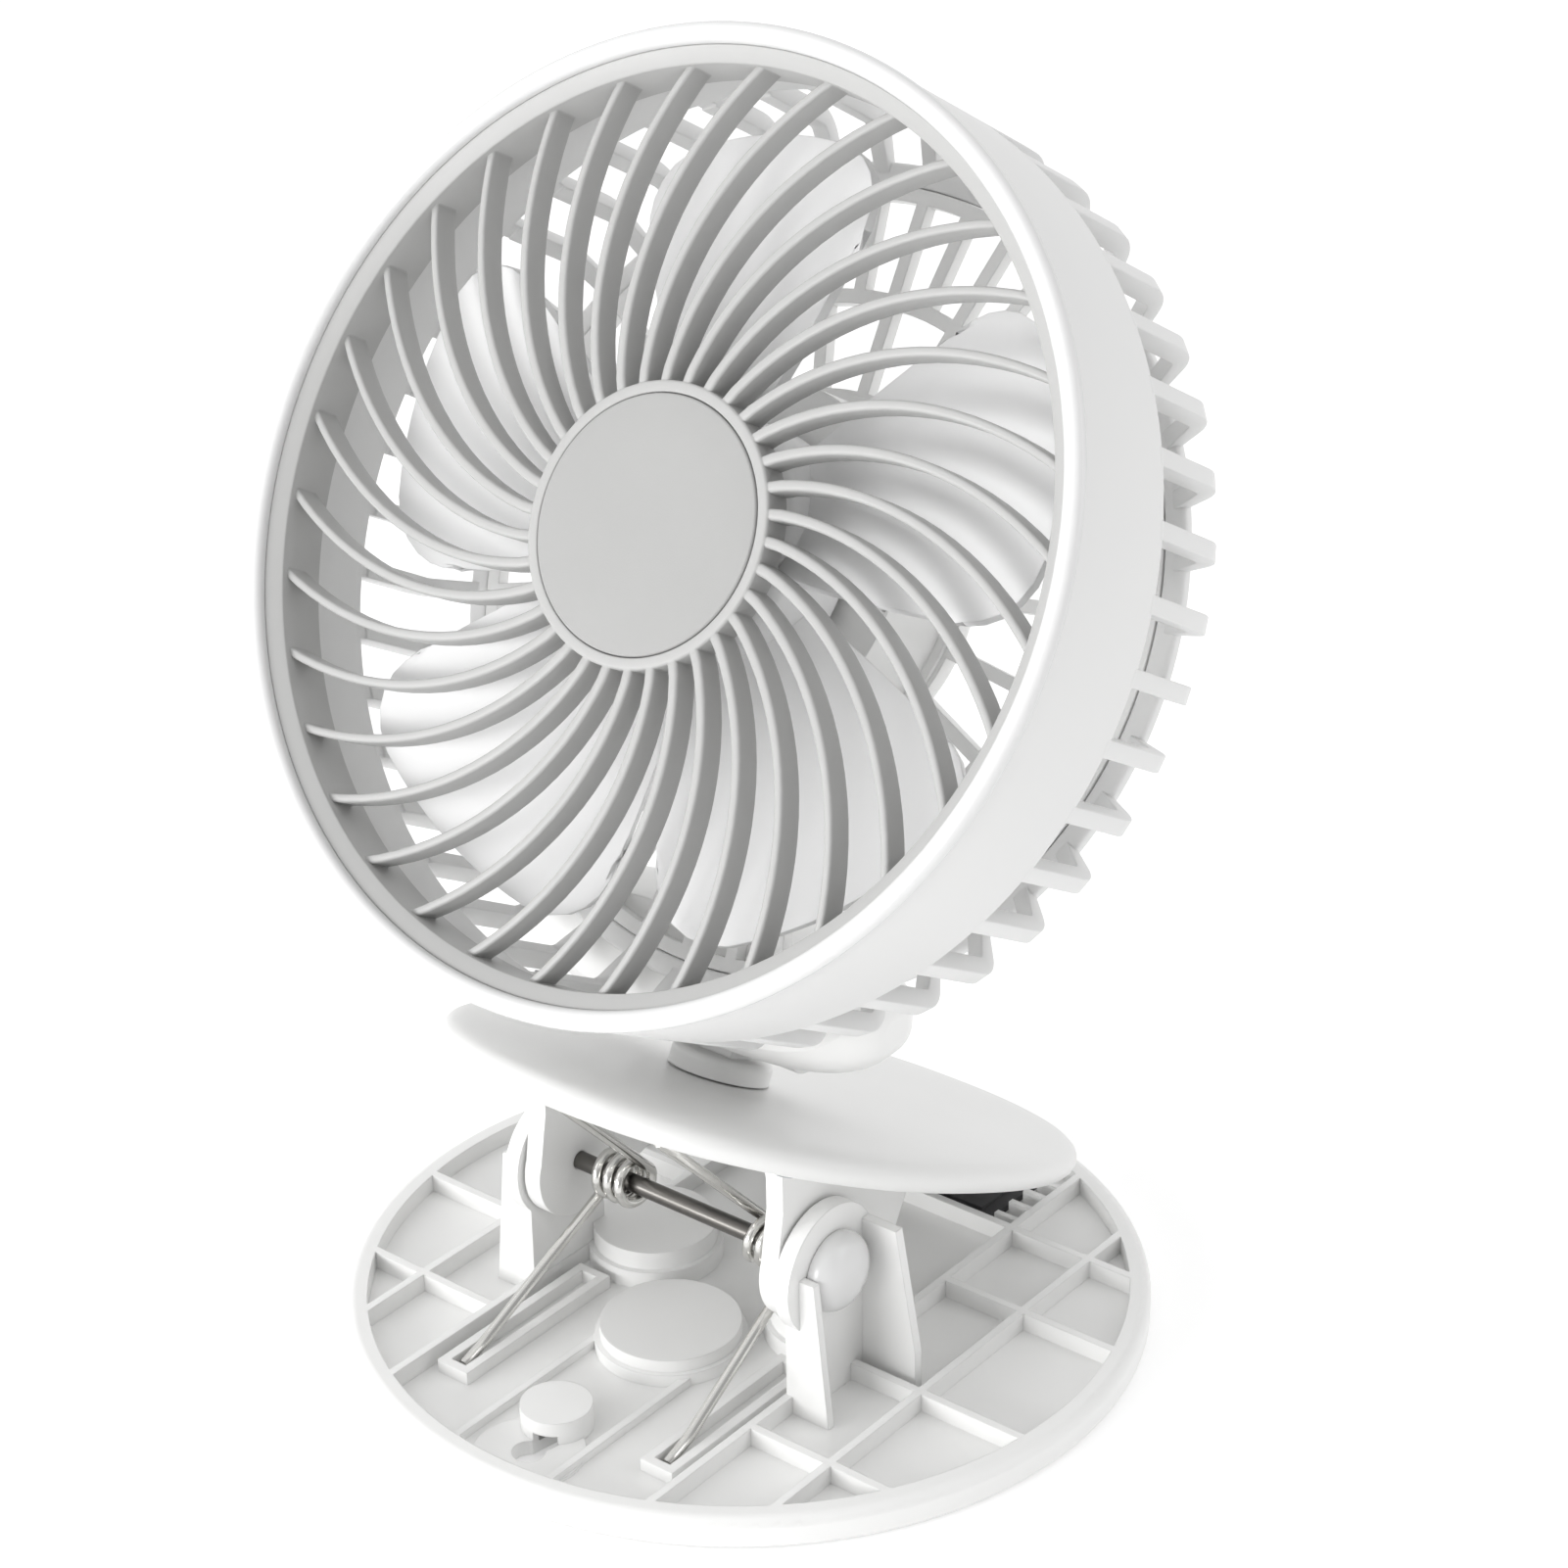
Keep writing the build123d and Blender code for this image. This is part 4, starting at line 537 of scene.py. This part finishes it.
def makeFrontGrille(v):
    inner, wallOuter = v["ringInner"], v["ringInner"] + v["wall"]
    ring = lathe("grilleRing", [
        (inner, v["slopeLow"], v["faceEdge"]), (v["slopeOuter"], v["slopeHigh"], v["slopeEdge"]),
        (v["slopeOuter"], v["ringFront"], 0), (v["ringOuter"], v["ringFront"], 0),
        (v["ringOuter"], v["flangeBack"], 0), (wallOuter, v["flangeBack"], 0),
        (wallOuter, v["depth"], v["wallEdge"]), (inner, v["depth"], v["wallEdge"]),
    ], meshValues["ringSteps"])
    hub = lathe("grilleHub", [
        (v["recess"], v["seat"], 0), (v["recess"], v["hubFront"], v["recessEdge"]),
        (v["hub"], v["hubFront"], v["hubEdge"]), (v["hub"], v["hubBack"], v["hubBackEdge"]),
        (v["hollow"], v["hubBack"], 0), (v["hollow"], v["seatBack"], 0),
        (0, v["seatBack"], 0), (0, v["seat"], 0),
    ], meshValues["hubSteps"])
    ribs = roundCopies(makeRib(v), v["ribCount"], "ribs")
    grille = joined([ring, hub, ribs], "frontGrille")
    smooth(grille)
    settle(grille, headTilt, headPlace)
    dress(grille, greyAbs, "grey_grille", "head", "front_grille")


makeFrontGrille(grilleValues)
print("front grille made")

# hub disc: bare frosted disc let into the cup
discValues = {"radius": 20.5, "front": -2.2, "back": -3.4, "edge": 0.35, "innerRing": 0.6}


def makeHubDisc(v):
    disc = lathe("hubDisc", [
        (0, v["back"], 0), (v["radius"], v["back"], 0), (v["radius"], v["front"], v["edge"]),
        (v["radius"] * v["innerRing"], v["front"], 0), (0, v["front"], 0),
    ], meshValues["hubSteps"])
    smooth(disc)
    settle(disc, headTilt, headPlace)
    dress(disc, discAbs, "grey_grille", "head", "hub_disc")


makeHubDisc(discValues)
print("hub disc made")

# impeller: domed hub and five broad twisted petals; the twist is given at its root and its tip
impellerValues = {
    "hub": 21.0, "hubFront": -10.5, "hubBack": -28.0, "dome": 4.0, "domeSteps": 8, "wall": 1.6,
    "boss": 3.6, "bore": 1.0, "backEdge": 0.3, "smoothTo": 40,
    "petals": 5, "first": 98.0, "tip": 65.0, "halfAngle": 27.0, "rootHalfAngle": 31.0,
    "corner": 13.0, "thick": 1.6, "middle": -17.0, "petalEdge": 0.5, "alongSteps": 14,
    "acrossSteps": 20, "twistFrom": 16.8, "twistSpan": 49.9, "rootSide": 9.47, "tipSide": 40.15,
    "rootRise": 5.47, "riseGain": 2.33,
}


def petalPoint(v, across, along):
    # across from -1 to 1 over the petal, along from 0 at the hub to 1 at the tip
    corner = v["corner"] / (v["tip"] * math.sin(math.radians(v["halfAngle"])))
    over = max(0.0, (abs(across) - 1 + corner) / corner)
    tip = v["tip"] - v["corner"] * (1 - math.sqrt(max(0.0, 1 - over * over)))
    root = v["hub"] - v["wall"] / 2
    radius = root + (tip - root) * along
    half = v["rootHalfAngle"] + (v["halfAngle"] - v["rootHalfAngle"]) * along
    turn = math.radians(across * half)
    out, side = radius * math.cos(turn), radius * math.sin(turn)
    share = (out - v["twistFrom"]) / v["twistSpan"]
    twist = side / (v["rootSide"] + (v["tipSide"] - v["rootSide"]) * share)
    height = v["middle"] - twist * (v["rootRise"] + v["riseGain"] * share)
    return Vector((out * mm, side * mm, height * mm))


def makePetal(v):
    bpy.ops.object.select_all(action="DESELECT")
    bpy.ops.mesh.primitive_grid_add(
        x_subdivisions=v["alongSteps"], y_subdivisions=v["acrossSteps"], size=1)
    petal = bpy.context.object
    for vertex in petal.data.vertices:
        across = math.sin(vertex.co.y * math.pi)
        vertex.co = petalPoint(v, across, vertex.co.x + 0.5)
    startEdit()
    endEdit()
    applied(petal, "SOLIDIFY", {"thickness": v["thick"] * mm, "offset": 0.0})
    bevelled(petal, v["petalEdge"])
    turnedTo(petal, v["first"])
    return petal


def makeImpeller(v):
    petals = roundCopies(makePetal(v), v["petals"], "petals")
    front, back, wall = v["hubFront"], v["hubBack"], v["wall"]
    inside = v["hub"] - wall
    hub = lathe("impellerHub", [
        (v["bore"], front, 0), (v["hub"], front, v["dome"]), (v["hub"], back, v["backEdge"]),
        (inside, back, 0), (inside, front - wall, 0), (v["boss"], front - wall, 0),
        (v["boss"], back + wall, v["backEdge"]), (v["bore"], back + wall, 0),
    ], meshValues["hubSteps"], v["domeSteps"])
    impeller = joined([hub, petals], "impellerBlades")
    smooth(impeller, v["smoothTo"])
    settle(impeller, headTilt, headPlace)
    dress(impeller, bladePolypropylene, "petal_white", "rotor", "impeller")


makeImpeller(impellerValues)
print("impeller made")

# upper jaw plate: softly crowned oval with a rounded rim
plateValues = {"halfWidth": 48.0, "halfLength": 63.0, "power": 2.3, "points": 128, "smoothTo": 50}
# its section from the hollow under the rim up to the crown, as (inset from the outline, height)
plateRings = [
    (4.0, -0.6), (4.0, -2.8), (2.9, -2.8), (1.8, -2.62), (0.9, -2.1), (0.3, -1.3), (0.0, -0.3),
    (0.12, 0.6), (0.6, 1.4), (1.5, 2.0), (3.0, 2.42), (5.5, 2.62), (10.0, 2.74), (16.0, 2.8),
    (18.0, 2.8),
]


def ovalPoint(v, index, inset):
    turn = math.tau * index / v["points"]
    wide, long = v["halfWidth"] - inset, v["halfLength"] - inset
    reach = (abs(math.cos(turn) / wide) ** v["power"]
             + abs(math.sin(turn) / long) ** v["power"]) ** (-1 / v["power"])
    return reach * math.cos(turn), reach * math.sin(turn)


def makePlate(v, rings):
    bpy.ops.object.select_all(action="DESELECT")
    bpy.ops.mesh.primitive_circle_add(vertices=v["points"], radius=0.05, fill_type="NGON")
    plate = bpy.context.object
    plate.name = "clampPlate"
    bpy.ops.object.mode_set(mode="EDIT")
    for number, (inset, height) in enumerate(rings):
        if number:
            bpy.ops.mesh.extrude_region_move()
        shape = bmesh.from_edit_mesh(plate.data)
        order = sorted((vert for vert in shape.verts if vert.select or not number),
                       key=lambda vert: math.atan2(vert.co.y, vert.co.x) % math.tau)
        for index, vert in enumerate(order):
            x, y = ovalPoint(v, index, inset)
            vert.co = (x * mm, y * mm, height * mm)
        bmesh.update_edit_mesh(plate.data)
    endEdit()
    smooth(plate, v["smoothTo"])
    settle(plate, jawTilt, jawPlace)
    dress(plate, plateAbs, "white_shell", "upper_jaw", "upper_jaw_shell")


makePlate(plateValues, plateRings)
print("clamp plate made")

# axle caps: low domes pushed on the ends of the axle
capValues = {
    "inner": 31.0, "radius": 7.0, "height": 5.0, "rim": 1.4, "edge": 0.25, "domeStep": 9,
    "axleY": -16.0, "axleZ": 27.5, "smoothTo": 50,
}


def makeCap(v, side):
    radius, rim, height = v["radius"], v["rim"], v["height"]
    section = [(0, 0, 0), (radius - v["edge"], 0, 0), (radius, v["edge"], 0)]
    for degrees in range(0, 90, v["domeStep"]):
        turn = math.radians(degrees)
        section.append((radius * math.cos(turn), rim + (height - rim) * math.sin(turn), 0))
    cap = lathe("cap", section + [(0, height, 0)], meshValues["capSteps"])
    cap.rotation_euler = (0, side * math.pi / 2, 0)
    cap.location = (side * v["inner"] * mm, v["axleY"] * mm, v["axleZ"] * mm)
    only(cap)
    bpy.ops.object.transform_apply(location=True, rotation=True, scale=True)
    return cap


axleCaps = joined([makeCap(capValues, 1), makeCap(capValues, -1)], "axleDomes")
smooth(axleCaps, capValues["smoothTo"])
dress(axleCaps, glossAbs, "white_shell", "base", "axle_caps")
print("axle caps made")

# torsion springs: bright wire, tip in the channel, coil on the axle, arm up to the plate
springValues = {
    "wire": 0.95, "coil": 3.5, "pitch": 2.5, "turns": 3, "outerX": 20.7, "slide": 2.05,
    "channelX": 22.5, "tipY": -48.8, "tipZ": 3.85, "bendY": -43.6, "bendZ": 5.6, "bendReach": 1.9,
    "axleY": -16.0, "axleZ": 27.5, "armY": -39.1, "armZ": 57.05, "lineSteps": 6, "coilStep": 9,
    "wireRound": 5, "endEdge": 0.3, "smoothTo": 60,
}


def springPoints(v, side):
    def onCoil(turn):
        x = side * v["outerX"] + v["slide"] - side * v["pitch"] * (turn - start) / 360
        return Vector((x, v["axleY"] + v["coil"] * math.cos(math.radians(turn)),
                       v["axleZ"] + v["coil"] * math.sin(math.radians(turn))))

    # the coil starts and ends where the two straight lengths touch it
    lowY, lowZ = v["bendY"] - v["axleY"], v["bendZ"] - v["axleZ"]
    start = math.degrees(math.atan2(lowZ, lowY) + math.acos(v["coil"] / math.hypot(lowY, lowZ)))
    highY, highZ = v["armY"] - v["axleY"], v["armZ"] - v["axleZ"]
    end = 360 * v["turns"] + math.degrees(math.atan2(highZ, highY)
                                          - math.acos(v["coil"] / math.hypot(highY, highZ)))
    tip = Vector((side * v["channelX"], v["tipY"], v["tipZ"]))
    bend = Vector((side * v["channelX"], v["bendY"], v["bendZ"]))
    first, last = onCoil(start), onCoil(end)
    top = Vector((last.x, v["armY"], v["armZ"]))
    tipWay, armWay = (bend - tip).normalized(), (first - bend).normalized()
    inner, outer = bend - tipWay * v["bendReach"], bend + armWay * v["bendReach"]
    steps = v["lineSteps"]
    shares = [step / steps for step in range(steps + 1)]
    corner = [inner.lerp(bend, t).lerp(bend.lerp(outer, t), t) for t in shares]
    count = round((end - start) / v["coilStep"])
    coil = [onCoil(start + (end - start) * step / count) for step in range(count + 1)]
    lowLine = [outer.lerp(first, t) for t in shares[1:-1]]
    arm = [last.lerp(top, t) for t in shares[1:]]
    return [tip, tip.lerp(inner, 0.5)] + corner + lowLine + coil + arm


def makeSpring(v, side, name, node):
    points = springPoints(v, side)
    bpy.ops.object.select_all(action="DESELECT")
    bpy.ops.curve.primitive_nurbs_path_add()
    spring = bpy.context.object
    spring.name = name
    spring.data.splines.clear()
    line = spring.data.splines.new("POLY")
    line.points.add(len(points) - 1)
    for point, place in zip(line.points, points):
        point.co = (*(place * mm), 1)
    spring.data.bevel_depth = v["wire"] * mm
    spring.data.bevel_resolution = v["wireRound"]
    spring.data.use_fill_caps = True
    only(spring)
    bpy.ops.object.convert(target="MESH")
    spring = bpy.context.object
    startEdit()
    bpy.ops.mesh.remove_doubles(threshold=meshValues["mergeMm"] * mm)
    endEdit()
    bevelled(spring, v["endEdge"], v["smoothTo"])
    smooth(spring, v["smoothTo"])
    dress(spring, springWire, "bright_steel", None, node)
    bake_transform(spring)


makeSpring(springValues, -1, "springLeft", "spring_left")
makeSpring(springValues, 1, "springRight", "spring_right")
print("springs made")

# camera: from the right, above and in front, as the photograph was taken
cameraValues = {
    "place": (337.2 * mm, -405.3 * mm, 360.2 * mm),
    "azimuth": 38.94, "elevation": 26.23, "roll": -0.93, "lens": 82.77, "sensor": 36.0,
    "nearest": 0.01,
}


def aimCamera(v):
    a, e, r = (math.radians(v[key]) for key in ("azimuth", "elevation", "roll"))
    back = Vector((math.sin(a) * math.cos(e), -math.cos(a) * math.cos(e), math.sin(e)))
    right = Vector((math.cos(a), math.sin(a), 0))
    up = back.cross(right)
    across = right * math.cos(r) + up * math.sin(r)
    above = up * math.cos(r) - right * math.sin(r)
    bpy.ops.object.camera_add()
    camera = bpy.context.object
    turned = Matrix((across, above, back)).transposed().to_4x4()
    camera.matrix_world = Matrix.Translation(v["place"]) @ turned
    camera.data.lens = v["lens"]
    camera.data.sensor_width = v["sensor"]
    camera.data.clip_start = v["nearest"]
    bpy.context.scene.camera = camera


aimCamera(cameraValues)

# soft boxes as (place, size, power), all turned to the middle of the fan
lightValues = {
    "keyLight": ((-0.9, -1.0, 1.2), (0.9, 0.9), 2),
    "sideLight": ((1.3, 0.6, 0.8), (0.8, 1.0), 3),
    "lowLight": ((-0.4, -1.3, 0.3), (1.2, 0.4), 11.5),
}
lightTarget = (0, 0, 0.1)


def softBox(name, place, size, power):
    bpy.ops.object.light_add(type="AREA", location=place)
    lamp = bpy.context.object
    lamp.name = name
    lamp.data.shape = "RECTANGLE"
    lamp.data.size, lamp.data.size_y = size
    lamp.data.energy = power
    aim = Vector(lightTarget) - Vector(place)
    lamp.rotation_euler = aim.to_track_quat("-Z", "Y").to_euler()


for lightName, (place, size, power) in lightValues.items():
    softBox(lightName, place, size, power)

# an even white tent, a touch brighter low down, with an opening to the right of the camera
# that is darker, so that the fan has a shaded side and the wire has dark bands
tentValues = {
    "low": 0.95, "high": 0.9, "lowEnd": 0.02, "highEnd": 0.5,
    "opening": (0.86, -0.4, 0.3), "openingEdge": 0.5, "openingMiddle": 0.95, "openingTone": 0.5,
}
scene = bpy.context.scene
world = scene.world or bpy.data.worlds.new("studio")
scene.world = world
world.use_nodes = True
background = world.node_tree.nodes["Background"]
background.inputs["Strength"].default_value = 1.0
sky = addNode(world.node_tree, "ShaderNodeTexCoord")
height = addNode(world.node_tree, "ShaderNodeSeparateXYZ", None, {"Vector": (sky, "Generated")})
tent = addNode(world.node_tree, "ShaderNodeMapRange", {
    "interpolation_type": "SMOOTHSTEP",
    "From Min": tentValues["lowEnd"], "From Max": tentValues["highEnd"],
    "To Min": tentValues["low"], "To Max": tentValues["high"],
}, {"Value": (height, "Z")})
toOpening = addNode(world.node_tree, "ShaderNodeVectorMath", {
    "operation": "DOT_PRODUCT", 1: tentValues["opening"],
}, {0: (sky, "Generated")})
opening = addNode(world.node_tree, "ShaderNodeMapRange", {
    "interpolation_type": "SMOOTHSTEP",
    "From Min": tentValues["openingEdge"], "From Max": tentValues["openingMiddle"],
    "To Min": 1.0, "To Max": tentValues["openingTone"],
}, {"Value": (toOpening, "Value")})
dimmed = addNode(world.node_tree, "ShaderNodeMath", {"operation": "MULTIPLY"},
                 {0: (tent, "Result"), 1: (opening, "Result")})
joinNodes(world.node_tree, dimmed, "Value", background, "Color")
scene.view_settings.view_transform = "Standard"

# floor: frosted white sheet with a painted glow and no lamp behind it, which keeps the ground
# white, hides the fan's shadow on it and lifts the shade under the fan;
# real frost is too fine to show, so frostMm draws it coarser
floorValues = {
    "colour": "#FBFBFB", "shade": "#F8F8F8", "roughness": 0.9, "glow": 0.2, "frostMm": 2.5,
    "size": 8,
}
# painted glow: the sheet gives off light of its own, which fills the shade under the fan and on the
# ground
floorMaterial, floorTree, floorShader = startMaterial("white floor sheet with painted glow", {
    "Roughness": floorValues["roughness"], "Emission Color": (1.0, 1.0, 1.0, 1.0),
    "Emission Strength": floorValues["glow"],
})
floorPlace = addNode(floorTree, "ShaderNodeTexCoord")
frost = addNode(floorTree, "ShaderNodeTexNoise", {
    "Scale": 1 / (floorValues["frostMm"] * mm), "Detail": 2.0,
}, {"Vector": (floorPlace, "Object")})
sheetTone = addNode(floorTree, "ShaderNodeMix", {
    "data_type": "RGBA", 6: linear(floorValues["colour"]), 7: linear(floorValues["shade"]),
}, {0: (frost, "Fac")})
joinNodes(floorTree, sheetTone, 2, floorShader, "Base Color")
bpy.ops.mesh.primitive_plane_add(size=floorValues["size"], location=(0, 0, 0))
floor = bpy.context.object
floor.name = "floor"
floor.data.materials.append(floorMaterial)
print("camera, lights and floor placed")
